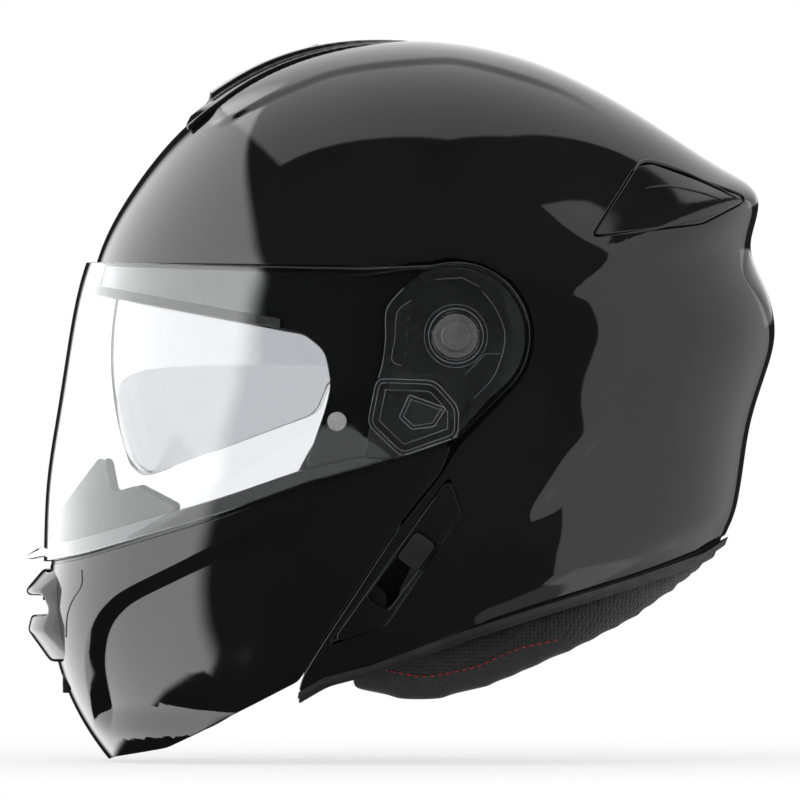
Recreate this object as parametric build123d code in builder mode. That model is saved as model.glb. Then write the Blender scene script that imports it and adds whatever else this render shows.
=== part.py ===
from build123d import *

import os
from math import cos, radians, sin, sqrt

# Driving sizes, in millimetres
SHELL_REACH = 126.0
SHELL_SIDE = 126.5
SHELL_WALL = 4.0
VISOR_SIDE = 129.0
VISOR_WALL = 2.4
PIVOT_SETBACK = 25.0
PIVOT_HEIGHT = 180.8
BEHIND_VISOR = 0.4
PLATE_THICK = 3.8
ARM_THICK = 3.3
ARM_GAP = 0.5
RECESS_DEPTH = 3.5
SOFT_GAP = 0.3
OVERRUN = 150.0

# Shape of every section across the helmet: the flat at the ears, and how full the sides are
FLAT_SHARE = 0.96
FULLNESS = 2.1
SECTION_SHARES = (0, 0.3, 0.55, 0.75, 0.87, 0.93, FLAT_SHARE)

# Side outline of the outer shell round the ear pivot: angle from the rear, radius as a share of the reach
SHELL_SHARES = (
    (0, 1.090), (10, 1.067), (18, 1.062), (25, 1.138), (31, 1.092), (38, 1.034), (50, 0.986),
    (65, 0.966), (80, 0.975), (95, 1.005), (110, 1.050), (125, 1.110), (140, 1.162), (155, 1.206),
    (167, 1.246), (180, 1.266), (190, 1.317), (200, 1.429), (207, 1.540), (214, 1.668), (222, 1.785),
    (230, 1.858), (240, 1.905), (255, 1.912), (270, 1.900), (282, 1.810), (294, 1.580), (306, 1.350),
    (316, 1.210), (326, 1.142), (336, 1.082), (346, 1.052), (353, 1.066),
)
VISOR_SHARES = (
    (0, 1.110), (30, 1.080), (60, 0.995), (90, 1.020), (115, 1.100), (135, 1.170), (150, 1.215),
    (162, 1.262), (172, 1.293), (182, 1.325), (191, 1.384), (200, 1.483), (208, 1.589), (216, 1.718),
    (225, 1.815), (238, 1.900), (255, 1.925), (272, 1.910), (290, 1.660), (305, 1.380), (320, 1.200),
    (340, 1.090),
)
HEAD_SHARES = (
    (0, 0.740), (30, 0.730), (60, 0.705), (90, 0.700), (120, 0.745), (150, 0.825), (180, 0.880),
    (205, 0.980), (230, 1.150), (255, 1.330), (275, 1.300), (295, 1.100), (315, 0.900), (338, 0.780),
)
HEAD_SIDE = 79.0
LINER_THICK = 9.0

side_plane = Plane(origin=(PIVOT_SETBACK, 0, PIVOT_HEIGHT), x_dir=(1, 0, 0), z_dir=(0, -1, 0))


def envelope(outline_shares, half_width, inset, side_inset):
    """A closed body whose sections are one side outline, drawn in towards flat ears."""
    with BuildPart() as body:
        full_width = (half_width - side_inset) / FLAT_SHARE
        for share in [-share for share in SECTION_SHARES[:0:-1]] + list(SECTION_SHARES):
            scale = sqrt(1 - abs(share) ** FULLNESS)
            with BuildSketch(side_plane.offset(share * full_width)):
                with BuildLine():
                    points = []
                    for angle, radius_share in outline_shares:
                        radius = (radius_share * SHELL_REACH - inset) * scale
                        points.append((radius * cos(radians(angle)), radius * sin(radians(angle))))
                    Spline(*points, periodic=True)
                make_face()
        loft()
    return body.part


def side_block(outline_shares, corner, near, far, grow=0):
    """A block with a side outline in shares of the reach, from near to far to the wearer's left."""
    with BuildPart() as block:
        with BuildSketch(side_plane.offset(near)):
            with BuildLine():
                places = [(across * SHELL_REACH, up * SHELL_REACH) for across, up in outline_shares]
                FilletPolyline(*places, radius=corner, close=True)
            make_face()
            if grow:
                offset(amount=grow)
        extrude(amount=far - near)
    return block.part


def plan_block(outline_shares, corner, grow=0):
    """An upright block with an outline seen from above, in shares of the reach from the ear pivot."""
    with BuildPart() as block:
        with BuildSketch(Plane.XY.offset(-OVERRUN)):
            with BuildLine():
                places = [
                    (PIVOT_SETBACK + across * SHELL_REACH, out * SHELL_REACH)
                    for across, out in outline_shares
                ]
                FilletPolyline(*places, radius=corner, close=True)
            make_face()
            if grow:
                offset(amount=grow)
        extrude(amount=4 * OVERRUN)
    return block.part


def side_disc(radius, near, far, at_shares=(0, 0)):
    """A round block across the helmet, at a place in shares of the reach from the ear pivot."""
    with BuildPart() as disc:
        with BuildSketch(side_plane.offset(near)):
            with Locations((at_shares[0] * SHELL_REACH, at_shares[1] * SHELL_REACH)):
                Circle(radius)
        extrude(amount=far - near)
    return disc.part


def finish(sub_part, name):
    """Labels a finished solid and writes it under its own name."""
    sub_part.label = name
    export_step(sub_part, f"parts/{name}.step")


def finish_pair(left_part, name):
    """Writes a left piece and its mirrored right twin."""
    finish(left_part, f"{name}_left")
    finish(mirror(left_part, about=Plane.XZ, mode=Mode.PRIVATE), f"{name}_right")


os.makedirs("parts", exist_ok=True)

# Layers of the helmet, counted outwards in and measured at the ears
visor_back = VISOR_SIDE - VISOR_WALL
plate_front = visor_back - BEHIND_VISOR
plate_back = plate_front - PLATE_THICK
arm_back = plate_back - ARM_THICK
recess_floor_side = arm_back - ARM_GAP
visor_inset = VISOR_WALL + BEHIND_VISOR
plate_inset = visor_inset + PLATE_THICK
arm_inset = plate_inset + ARM_THICK

# Side outlines, as shares of the reach from the ear pivot
RECESS_SHARES = (
    (-1.655, 0.256), (-0.307, 0.235), (-0.078, 0.250), (0.020, 0.250), (0.171, -0.201),
    (0.024, -0.352), (-0.041, -0.454), (-0.215, -0.681), (-1.655, -0.681),
)
OPENING_SHARES = (
    (-1.655, 0.167), (-1.266, 0.148), (-0.515, 0.009), (-0.440, -0.051), (-0.420, -0.164),
    (-0.440, -0.249), (-0.508, -0.444), (-0.410, -0.577), (-0.174, -0.618), (-0.454, -1.044),
    (-0.522, -1.157), (-0.700, -2.200), (-1.900, -2.200),
)
BELOW_SHARES = (
    (-0.800, -1.360), (-0.444, -1.150), (-0.287, -1.109), (0.034, -0.990), (0.307, -0.904),
    (0.601, -0.816), (0.846, -0.734), (0.935, -0.680), (1.382, -0.488), (1.382, -1.950), (-0.800, -1.950),
)
CHIN_SHARES = (
    (-1.900, -0.890), (-1.396, -0.778), (-1.266, -0.751), (-0.795, -0.611), (-0.508, -0.508),
    (-0.188, -0.416), (-0.014, -0.366), (-0.048, -0.454), (-0.181, -0.622), (-0.462, -1.048),
    (-0.530, -1.166), (-0.741, -1.280), (-0.979, -1.396), (-1.171, -1.433), (-1.330, -1.560),
    (-1.900, -1.560),
)
FLANGE_SHARES = (
    (-1.900, -0.830), (-1.396, -0.715), (-1.266, -0.685), (-0.795, -0.545), (-0.508, -0.450),
    (-0.330, -0.410), (-0.188, -0.416), (-0.014, -0.366), (-0.044, -0.440), (-0.188, -0.482),
    (-0.508, -0.573), (-0.795, -0.676), (-1.266, -0.816), (-1.396, -0.850), (-1.900, -0.960),
)
ARM_SHARES = (
    (-0.100, 0.100), (-0.220, -0.080), (-0.262, -0.214), (-0.286, -0.292), (-0.303, -0.378),
    (-0.305, -0.440), (-0.188, -0.478), (-0.050, -0.425), (0.020, -0.200), (0.100, 0.000),
)
VISOR_AREA_SHARES = (
    (-1.700, 0.276), (-1.270, 0.256), (-0.768, 0.239), (-0.307, 0.228), (-0.078, 0.238),
    (0.020, 0.236), (0.164, -0.188), (0.010, -0.338), (-0.188, -0.403), (-0.508, -0.495),
    (-0.795, -0.597), (-1.266, -0.737), (-1.396, -0.764), (-1.700, -0.835),
)
PLATE_SHARES = (
    (0.058, 0.225), (-0.085, 0.231), (-0.177, 0.160), (-0.232, 0.089), (-0.236, -0.010),
    (-0.246, -0.089), (-0.259, -0.140), (-0.290, -0.303), (-0.177, -0.398), (0.000, -0.336),
    (0.150, -0.165), (0.200, -0.010), (0.160, 0.148),
)
SMALL_CORNER = 2.0
EDGE_CORNER = 4.0
VISOR_TAIL_RADIUS = 31.4
RECESS_TAIL_RADIUS = 33.0

# Visor mechanism and chin bar
FLANGE_LAP = 0.8
RUNNING_GAP = 0.06
BOSS_RADIUS = 10.0
BUSH_RADIUS = 8.0
ARM_DISC_RADIUS = 29.6
FOG_HEAD_RADIUS = 4.0
FOG_HEAD_THICK = 1.0
FOG_SHANK_RADIUS = 2.0
FOG_STAND = 2.4
FOG_PIN_SHARE = (-0.399, -0.287)
TAB_WIDTH = 24.0
TAB_SHARES = ((-1.390, -0.690), (-1.430, -0.715), (-1.457, -0.720), (-1.457, -0.750), (-1.392, -0.764))
WINDOW_SHARES = ((-0.157, -0.198), (-0.191, -0.273), (-0.147, -0.314), (-0.072, -0.304), (-0.040, -0.245))
LOBE_SHARES = (
    (-0.215, -0.130), (-0.252, -0.268), (-0.165, -0.355), (-0.010, -0.300), (0.020, -0.200), (-0.060, -0.115),
)
LOBE_INSETS = (0.0, 2.2)
GROOVE_WIDTH = 0.8
GROOVE_DEPTH = 0.9
DETENT_RADIUS = 2.1
DETENT_DEPTH = 1.5
DETENT_REACH_SHARE = 0.180
DETENT_ANGLES = (154, 164, 174, 184, 194)
BUTTON_WIDTH = 26.0
BUTTON_TALL = 10.0
BUTTON_DEEP = 12.0
BUTTON_CORNER = 3.0
BUTTON_GAP = 0.4
BUTTON_DROP_SHARE = 1.190
BUTTON_BACK_SHARE = -1.260
CHIN_LINER_RADIUS = 172.0
CHIN_VENT_WIDTH = 72.0
CHIN_SLOT_WIDTH = 50.0
GUARD_SHARES = (
    (-1.500, -0.640), (-1.328, -0.577), (-1.194, -0.403), (-1.177, -0.427), (-1.157, -0.529),
    (-1.075, -0.505), (-0.945, -0.573), (-0.980, -0.680), (-1.266, -0.790), (-1.500, -0.840),
)
CHIN_LINER_SHARES = (
    (-1.700, -0.930), (-1.270, -0.850), (-1.080, -0.800), (-1.040, -1.340), (-1.171, -1.390),
    (-1.700, -1.480),
)
# Chin vent from the side: the hood, the beak under it and the channel between them
CHIN_VENT_SHARES = (
    (-1.404, -0.790), (-1.465, -0.862), (-1.441, -0.928), (-1.458, -1.000), (-1.382, -1.106),
    (-1.240, -1.120), (-1.200, -0.790),
)
CHIN_VENT_PLAN_SHARES = (
    (-1.510, 0.170), (-1.400, 0.250), (-1.200, 0.290), (-1.200, -0.290), (-1.400, -0.250),
    (-1.510, -0.170),
)
CHIN_SLOT_SHARES = (
    (-1.600, -0.935), (-1.600, -0.905), (-1.437, -0.880), (-1.370, -0.836), (-1.200, -0.836),
    (-1.200, -0.940), (-1.399, -0.950),
)
SHUTTER_SHARES = ((-1.403, -0.868), (-1.390, -0.860), (-1.390, -0.892), (-1.403, -0.900))
SHUTTER_CORNER = 0.6
SPIGOT_RADIUS = 5.0
BUSH_NUT_THICK = 2.0
SCREW_RADIUS = 2.5
WASHER_RADIUS = 9.4
WASHER_THICK = 0.8
SCREW_HEAD_RADIUS = 6.1
SCREW_HEAD_THICK = 2.0
SUN_RADIUS = 135.5
SUN_SIDE = 108.5
SUN_THICK = 2.0
SUN_PIN_RADIUS = 3.0
SUN_HEAD_RADIUS = 6.0
SUN_HEAD_THICK = 1.6
SUN_ARM_REACH = 16.0
SUN_PIVOT_SHARE = (-0.099, -0.064)
SUN_SHARES = (
    (-1.348, 0.256), (-0.529, 0.085), (-0.375, 0.041), (-0.099, 0.032), (-0.004, -0.030), (-0.004, -0.098),
    (-0.099, -0.160), (-0.427, -0.147), (-0.474, -0.263), (-1.061, -0.481), (-1.150, -0.400),
    (-1.348, -0.352),
)
SUN_POCKET_SHARES = (
    (-0.060, -0.200), (0.020, 0.020), (-0.560, 1.000), (-1.900, 1.400), (-1.900, -0.900), (-0.600, -0.500),
)
CHEEK_CENTRE_SHARE = (-0.300, -0.680)
CHEEK_SHARES = (
    (-0.386, -0.222), (-0.230, -0.400), (-0.012, -0.600), (-0.012, -0.850), (-0.256, -0.955),
    (-0.427, -1.060), (-0.563, -1.034), (-0.659, -0.863), (-0.631, -0.625), (-0.495, -0.352),
)
CHEEK_INNER_SIDE = 62.0
CHEEK_OUTER_SIDE = 97.0
CHEEK_CORNER = 6.0
PAD_CROWN_SHARES = ((1, 1), (0.75, 1), (0.25, 0.94), (0, 0.78))
EPS_BELOW_SHARES = (
    (-1.900, -0.454), (-0.375, -0.454), (-0.085, -0.642), (-0.190, -0.860), (-0.200, -0.970), (0.034, -0.877),
    (0.495, -0.741), (0.891, -0.625), (1.382, -0.488), (1.382, -2.200), (-1.900, -2.200),
)
FOAM_SPLIT_SHARE = 0.150
CROWN_SHARES = (
    (-1.400, 0.250), (-0.500, 0.060), (-0.300, -0.180), (0.200, -0.480), (0.750, -0.560), (1.200, -0.500),
    (1.200, 1.200), (-1.400, 1.200),
)
ROLL_SHARES = (
    (-0.365, 0.735, -1.070, -1.205), (-0.080, 0.755, -0.990, -1.245), (0.240, 0.745, -0.905, -1.150),
    (0.490, 0.640, -0.815, -1.035), (0.670, 0.455, -0.755, -0.930), (0.770, 0.235, -0.700, -0.850),
    (0.800, 0.000, -0.680, -0.830),
)
ROLL_THICK = 24.0
ROLL_CORNER = 7.0
TRIM_HEIGHT = 2.6
SEAL_HEIGHT = 2.8
SEAL_CORNER = 0.6
SEAL_SHARES = (
    (-1.600, 0.206), (-1.266, 0.182), (-0.590, 0.058), (-0.590, 0.026), (-1.266, 0.152), (-1.600, 0.171),
)
PANEL_DEPTH = 2.2
PANEL_GAP = 0.4
PANEL_SHARES = ((-0.022, -0.475), (0.017, -0.590), (-0.242, -0.976), (-0.425, -1.040))
REAR_VENT_SHARES = (
    (0.461, 0.338), (0.614, 0.577), (0.665, 0.587), (0.973, 0.478), (0.979, 0.457), (0.836, 0.382),
)
VENT_RIDGE_SHARES = ((0.630, 0.562), (0.952, 0.486), (0.946, 0.462), (0.634, 0.532))
RIDGE_CORNER = 0.8
VENT_SINK = 1.2
SLIDER_LONG = 14.0
SLIDER_WIDE = 10.0
SLIDER_TRAVEL = 22.0
SLIDER_THICK = 3.2
SLIDER_SINK = 1.2
SLIDER_CORNER = 2.0
SLIDER_TOP_SHARE = (-0.130, -0.722)
SLIDER_LOW_SHARE = (-0.250, -0.882)
TRACK_GAP = 0.5
CHEEK_REACH_SHARE = 1.905
LATCH_PIVOT_SHARE = (-0.454, -0.891)
STRIKER_SHARE = (-0.280, -0.890)
LATCH_NEAR = 101.0
LATCH_THICK = 4.0
LATCH_ROOT = 111.0
LATCH_PIN_RADIUS = 2.5
LATCH_BOSS_RADIUS = 6.0
JAW_GAP = 0.6
LATCH_JAW = 12.0
STRIKER_RADIUS = 2.5
STRIKER_FLANGE_RADIUS = 6.0
STRIKER_FLANGE_NEAR = 106.5
# Top vent, a broad fin with a ridge fin on it: lift of the silhouette by angle, side profile and plan
BROAD_LIFT_SHARES = {95: 0.002, 110: 0.014, 125: 0.020, 140: 0.022, 155: 0.022}
BROAD_FIN_SHARES = ((-0.925, 0.700), (-0.880, 0.800), (-0.700, 1.100), (-0.190, 1.200), (-0.190, 0.700))
BROAD_PLAN_SHARES = (
    (-1.000, 0.255), (-0.800, 0.265), (-0.190, 0.120), (-0.190, -0.120), (-0.800, -0.265), (-1.000, -0.255),
)
RIDGE_LIFT_SHARES = {95: 0.004, 110: 0.027, 125: 0.038, 140: 0.040, 155: 0.040}
RIDGE_FIN_SHARES = ((-0.860, 0.700), (-0.830, 0.860), (-0.700, 1.100), (-0.100, 1.200), (-0.100, 0.700))
RIDGE_PLAN_SHARES = (
    (-1.000, 0.160), (-0.760, 0.165), (-0.100, 0.080), (-0.100, -0.080), (-0.760, -0.165), (-1.000, -0.160),
)
INTAKE_SHARES = ((-1.200, 0.600), (-0.720, 0.600), (-0.720, 1.400), (-1.200, 1.400))
FIN_WALL = 1.2
FIN_RIB = 2.0
TOP_SLIDER_LONG = 14.0
TOP_SLIDER_WIDE = 16.0
TOP_SLIDER_THICK = 3.0
TOP_SLIDER_SINK = 1.4
TOP_SLIDER_TRAVEL = 8.0
TOP_SLIDER_SHARE = (-0.523, 0.986)
TOP_TILT = 16.0
STRAP_WIDTH = 20.0
STRAP_THICK = 2.0
STRAP_BACK = 3.0
STRAP_SHARES = (
    (0.640, -0.480), (0.640, -0.640), (0.553, -0.850), (0.470, -0.965), (0.285, -1.062), (0.100, -1.062),
)
STRAP_BEND = 12.0
RIVET_SHARE = (0.103, -0.560)
RIVET_RADIUS = 2.5
RIVET_HEAD_RADIUS = 6.0
RIVET_HEAD_THICK = 1.5
BUCKLE_LONG = 36.0
BUCKLE_WIDE = 24.0
BUCKLE_THICK = 6.0
BUCKLE_CORNER = 2.0
BUCKLE_OVERHANG_SHARE = 0.167
TONGUE_THICK = 1.6
TONGUE_WIDE = 14.0
TONGUE_LONG = 44.0
TONGUE_LIFT = 1.7
TONGUE_GAP = 0.3
TONGUE_FOOT = 8.8
LEVER_LONG = 30.0
LEVER_WIDE = 16.0
LEVER_THICK = 1.8
LEVER_PIN_RADIUS = 1.4
LEVER_BARREL_RADIUS = 2.6
EAR_THICK = 3.0
boss_top = VISOR_SIDE - RUNNING_GAP
recess_back_side = recess_floor_side - SHELL_WALL
top_along = Vector(cos(radians(TOP_TILT)), 0, sin(radians(TOP_TILT)))
top_place = Vector(TOP_SLIDER_SHARE[0], 0, TOP_SLIDER_SHARE[1]) * SHELL_REACH
top_plane = Plane(
    origin=Vector(PIVOT_SETBACK, 0, PIVOT_HEIGHT) + top_place, x_dir=top_along,
    z_dir=top_along.cross(Vector(0, 1, 0)),
)
button_height = PIVOT_HEIGHT - BUTTON_DROP_SHARE * SHELL_REACH
button_back = BUTTON_BACK_SHARE * SHELL_REACH

# Outer shell
shell_outside = envelope(SHELL_SHARES, SHELL_SIDE, 0, 0)
shell_inside = envelope(SHELL_SHARES, SHELL_SIDE, SHELL_WALL, SHELL_WALL)
recess_drop = SHELL_SIDE - recess_floor_side
recess_floor = envelope(SHELL_SHARES, SHELL_SIDE, RECESS_DEPTH, recess_drop)
recess_back = envelope(SHELL_SHARES, SHELL_SIDE, RECESS_DEPTH + SHELL_WALL, recess_drop + SHELL_WALL)
opening_block = side_block(OPENING_SHARES, EDGE_CORNER, -OVERRUN, OVERRUN)
below_block = side_block(BELOW_SHARES, EDGE_CORNER, -OVERRUN, OVERRUN)

with BuildPart() as recess_cut:
    add(side_block(RECESS_SHARES, SMALL_CORNER, -OVERRUN, OVERRUN))
    add(side_disc(RECESS_TAIL_RADIUS, -OVERRUN, OVERRUN))
    add(recess_floor, mode=Mode.SUBTRACT)

with BuildPart() as recess_backing:
    add(side_block(RECESS_SHARES, SMALL_CORNER, -OVERRUN, OVERRUN, grow=SHELL_WALL))
    add(side_disc(RECESS_TAIL_RADIUS + SHELL_WALL, -OVERRUN, OVERRUN))
    add(recess_back, mode=Mode.SUBTRACT)

with BuildPart() as shell_hollow:
    add(shell_inside)
    add(recess_backing.part, mode=Mode.SUBTRACT)

insert_floor = envelope(SHELL_SHARES, SHELL_SIDE, PANEL_DEPTH, PANEL_DEPTH)
with BuildPart() as insert_cut:
    for insert_shares in (PANEL_SHARES, REAR_VENT_SHARES):
        add(side_block(insert_shares, SMALL_CORNER, -OVERRUN, OVERRUN, grow=PANEL_GAP))
    add(insert_floor, mode=Mode.SUBTRACT)

with BuildPart() as outer_shell:
    add(shell_outside)
    add(recess_cut.part, mode=Mode.SUBTRACT)
    add(shell_hollow.part, mode=Mode.SUBTRACT)
    add(opening_block, mode=Mode.SUBTRACT)
    add(below_block, mode=Mode.SUBTRACT)
    add(side_disc(SPIGOT_RADIUS, -OVERRUN, OVERRUN), mode=Mode.SUBTRACT)
    add(insert_cut.part, mode=Mode.SUBTRACT)
finish(outer_shell.part, "outer_shell")

# Visor layers
visor_outside = envelope(VISOR_SHARES, VISOR_SIDE, 0, 0)
visor_inside = envelope(VISOR_SHARES, VISOR_SIDE, VISOR_WALL, VISOR_WALL)
plate_outside = envelope(VISOR_SHARES, VISOR_SIDE, visor_inset, visor_inset)
plate_inside = envelope(VISOR_SHARES, VISOR_SIDE, plate_inset, plate_inset)
flange_inside = envelope(VISOR_SHARES, VISOR_SIDE, plate_inset + FLANGE_LAP, plate_inset + FLANGE_LAP)
arm_inside = envelope(VISOR_SHARES, VISOR_SIDE, arm_inset, arm_inset)

# Visor, turning on the bosses of the base plates, with its lifting tab
with BuildPart() as visor:
    add(side_block(VISOR_AREA_SHARES, SMALL_CORNER, -OVERRUN, OVERRUN))
    add(side_disc(VISOR_TAIL_RADIUS, -OVERRUN, OVERRUN))
    add(visor_outside, mode=Mode.INTERSECT)
    add(visor_inside, mode=Mode.SUBTRACT)
    add(side_disc(BOSS_RADIUS + RUNNING_GAP, -OVERRUN, OVERRUN), mode=Mode.SUBTRACT)
    add(side_disc(FOG_SHANK_RADIUS, -OVERRUN, OVERRUN, FOG_PIN_SHARE), mode=Mode.SUBTRACT)
    with BuildSketch(side_plane.offset(-TAB_WIDTH / 2)):
        with BuildLine():
            tab_corners = [(across * SHELL_REACH, up * SHELL_REACH) for across, up in TAB_SHARES]
            Polyline(*tab_corners, close=True)
        make_face()
    extrude(amount=TAB_WIDTH)
finish(visor.part, "visor")

# Pins for the anti-fog lens, riveted through the visor
with BuildPart() as fog_pins:
    for side in (-1, 1):
        fog_head_side = side * (VISOR_SIDE + FOG_HEAD_THICK)
        add(side_disc(FOG_HEAD_RADIUS, side * VISOR_SIDE, fog_head_side, FOG_PIN_SHARE))
        add(side_disc(FOG_SHANK_RADIUS, side * (visor_back - FOG_STAND), side * VISOR_SIDE, FOG_PIN_SHARE))
        add(side_disc(FOG_HEAD_RADIUS, side * (visor_back - FOG_STAND),
                      side * (visor_back - FOG_STAND + FOG_HEAD_THICK), FOG_PIN_SHARE))
finish(fog_pins.part, "antifog_pins")

# Grooves round the lobe of the base plate, nested in each other
with BuildPart() as lobe_grooves:
    for lobe_inset in LOBE_INSETS:
        groove_floor = plate_front - GROOVE_DEPTH
        add(side_block(LOBE_SHARES, EDGE_CORNER, groove_floor, OVERRUN, grow=-lobe_inset))
        add(side_block(LOBE_SHARES, EDGE_CORNER, groove_floor, OVERRUN, grow=-lobe_inset - GROOVE_WIDTH),
            mode=Mode.SUBTRACT)

# Base plate that carries the visor: boss, window, grooved lobe and the notches that hold the visor part open
with BuildPart() as visor_base:
    add(side_block(PLATE_SHARES, SMALL_CORNER, 0, OVERRUN))
    add(plate_outside, mode=Mode.INTERSECT)
    add(plate_inside, mode=Mode.SUBTRACT)
    add(side_disc(BOSS_RADIUS, plate_back, boss_top))
    add(side_disc(BUSH_RADIUS + RUNNING_GAP, 0, OVERRUN), mode=Mode.SUBTRACT)
    add(side_block(WINDOW_SHARES, SMALL_CORNER, 0, OVERRUN), mode=Mode.SUBTRACT)
    add(lobe_grooves.part, mode=Mode.SUBTRACT)
    for angle in DETENT_ANGLES:
        across = DETENT_REACH_SHARE * cos(radians(angle))
        up = DETENT_REACH_SHARE * sin(radians(angle))
        add(side_disc(DETENT_RADIUS, plate_front - DETENT_DEPTH, OVERRUN, (across, up)), mode=Mode.SUBTRACT)
finish_pair(visor_base.part, "visor_base")

# Chin bar: outer wall, rebated flange behind the visor and one arm to each ear pivot
with BuildPart() as chin_flange:
    add(side_block(FLANGE_SHARES, SMALL_CORNER, -OVERRUN, OVERRUN))
    add(plate_outside, mode=Mode.INTERSECT)
    add(shell_outside, mode=Mode.INTERSECT)
    add(flange_inside, mode=Mode.SUBTRACT)
    add(side_block(PLATE_SHARES, SMALL_CORNER, -OVERRUN, OVERRUN, grow=SOFT_GAP), mode=Mode.SUBTRACT)

with BuildPart() as chin_arms:
    add(side_block(ARM_SHARES, SMALL_CORNER, -OVERRUN, OVERRUN))
    add(side_disc(ARM_DISC_RADIUS, -OVERRUN, OVERRUN))
    add(plate_inside, mode=Mode.INTERSECT)
    add(arm_inside, mode=Mode.SUBTRACT)

with BuildPart() as chin_bar:
    add(side_block(CHIN_SHARES, SMALL_CORNER, -OVERRUN, OVERRUN))
    add(shell_outside, mode=Mode.INTERSECT)
    add(shell_inside, mode=Mode.SUBTRACT)
    add(chin_flange.part)
    add(chin_arms.part)
    add(side_disc(BUSH_RADIUS + RUNNING_GAP, -OVERRUN, OVERRUN), mode=Mode.SUBTRACT)
    for side in (-1, 1):
        add(side_disc(LATCH_PIN_RADIUS, side * LATCH_NEAR, side * LATCH_ROOT, LATCH_PIVOT_SHARE))
    with BuildSketch(Plane.YZ.offset(PIVOT_SETBACK - SHELL_REACH)):
        with Locations((0, button_height)):
            RectangleRounded(BUTTON_WIDTH + 2 * BUTTON_GAP, BUTTON_TALL + 2 * BUTTON_GAP, BUTTON_CORNER)
    extrude(amount=-OVERRUN, mode=Mode.SUBTRACT)
finish(chin_bar.part, "chin_bar")

# Release button under the chin vent
with BuildPart() as release_button:
    with BuildSketch(Plane.YZ.offset(PIVOT_SETBACK + button_back)):
        with Locations((0, button_height)):
            RectangleRounded(BUTTON_WIDTH, BUTTON_TALL, BUTTON_CORNER)
    extrude(amount=-(BUTTON_DEEP))
finish(release_button.part, "release_button")

# Breath guard behind the top edge of the chin bar
with BuildPart() as breath_guard:
    add(side_block(GUARD_SHARES, SMALL_CORNER, -OVERRUN, OVERRUN))
    add(flange_inside, mode=Mode.INTERSECT)
    add(arm_inside, mode=Mode.SUBTRACT)
finish(breath_guard.part, "breath_guard")

# Foam block behind the front of the chin bar
foam_outside = envelope(SHELL_SHARES, SHELL_SIDE, SHELL_WALL + SOFT_GAP, SHELL_WALL + SOFT_GAP)
with BuildPart() as chin_liner:
    add(side_block(CHIN_LINER_SHARES, EDGE_CORNER, -OVERRUN, OVERRUN))
    add(foam_outside, mode=Mode.INTERSECT)
    add(side_disc(CHIN_LINER_RADIUS, -OVERRUN, OVERRUN), mode=Mode.SUBTRACT)
    with BuildSketch(Plane.YZ.offset(PIVOT_SETBACK - SHELL_REACH)):
        with Locations((0, button_height)):
            RectangleRounded(BUTTON_WIDTH + EDGE_CORNER, BUTTON_TALL + EDGE_CORNER, BUTTON_CORNER)
    extrude(amount=-OVERRUN, mode=Mode.SUBTRACT)
finish(chin_liner.part, "chin_bar_liner")

# Chin vent: a hooded housing on the nose of the chin bar, with a sliding shutter
with BuildPart() as chin_vent:
    add(side_block(CHIN_VENT_SHARES, SMALL_CORNER, -CHIN_VENT_WIDTH / 2, CHIN_VENT_WIDTH / 2))
    add(plan_block(CHIN_VENT_PLAN_SHARES, EDGE_CORNER), mode=Mode.INTERSECT)
    add(shell_outside, mode=Mode.SUBTRACT)
    slot_reach = CHIN_SLOT_WIDTH / 2
    add(side_block(CHIN_SLOT_SHARES, SMALL_CORNER, -slot_reach, slot_reach), mode=Mode.SUBTRACT)
finish(chin_vent.part, "chin_vent_housing")

# Sliding shutter inside the chin vent
with BuildPart() as chin_shutter:
    shutter_reach = slot_reach - SOFT_GAP
    add(side_block(SHUTTER_SHARES, SHUTTER_CORNER, -shutter_reach, shutter_reach))
finish(chin_shutter.part, "chin_vent_shutter")

# Ear pivots: bushes fixed in the shell and the screws that close them
with BuildPart() as pivot_bushes:
    for side in (-1, 1):
        add(side_disc(BUSH_RADIUS, side * recess_floor_side, side * boss_top))
        add(side_disc(SPIGOT_RADIUS, side * (recess_back_side - BUSH_NUT_THICK), side * recess_floor_side))
        add(side_disc(BUSH_RADIUS, side * (recess_back_side - BUSH_NUT_THICK), side * recess_back_side))
        add(side_disc(SCREW_RADIUS, side * recess_floor_side, side * boss_top), mode=Mode.SUBTRACT)
finish(pivot_bushes.part, "pivot_bushes")

with BuildPart() as pivot_screws:
    for side in (-1, 1):
        add(side_disc(SCREW_RADIUS, side * recess_floor_side, side * boss_top))
        add(side_disc(WASHER_RADIUS, side * boss_top, side * (boss_top + WASHER_THICK)))
        add(side_disc(SCREW_HEAD_RADIUS, side * boss_top, side * (boss_top + SCREW_HEAD_THICK)))
finish(pivot_screws.part, "pivot_screws")


def dome(radius, half_width, at_shares):
    """A body turned round an axis across the helmet, with the helmet's own fullness and flat ends."""
    full_width = half_width / FLAT_SHARE
    with BuildPart() as body:
        with BuildSketch(Plane.XY):
            with BuildLine():
                curve = [
                    (radius * sqrt(1 - abs(share) ** FULLNESS), share * full_width)
                    for share in [-share for share in SECTION_SHARES[:0:-1]] + list(SECTION_SHARES)
                ]
                Spline(*curve)
                Polyline(curve[-1], (0, half_width), (0, -half_width), curve[0])
            make_face()
        revolve(axis=Axis.Y)
    place = Vector(at_shares[0], 0, at_shares[1]) * SHELL_REACH
    return body.part.moved(Location(Vector(PIVOT_SETBACK, 0, PIVOT_HEIGHT) + place))


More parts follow.
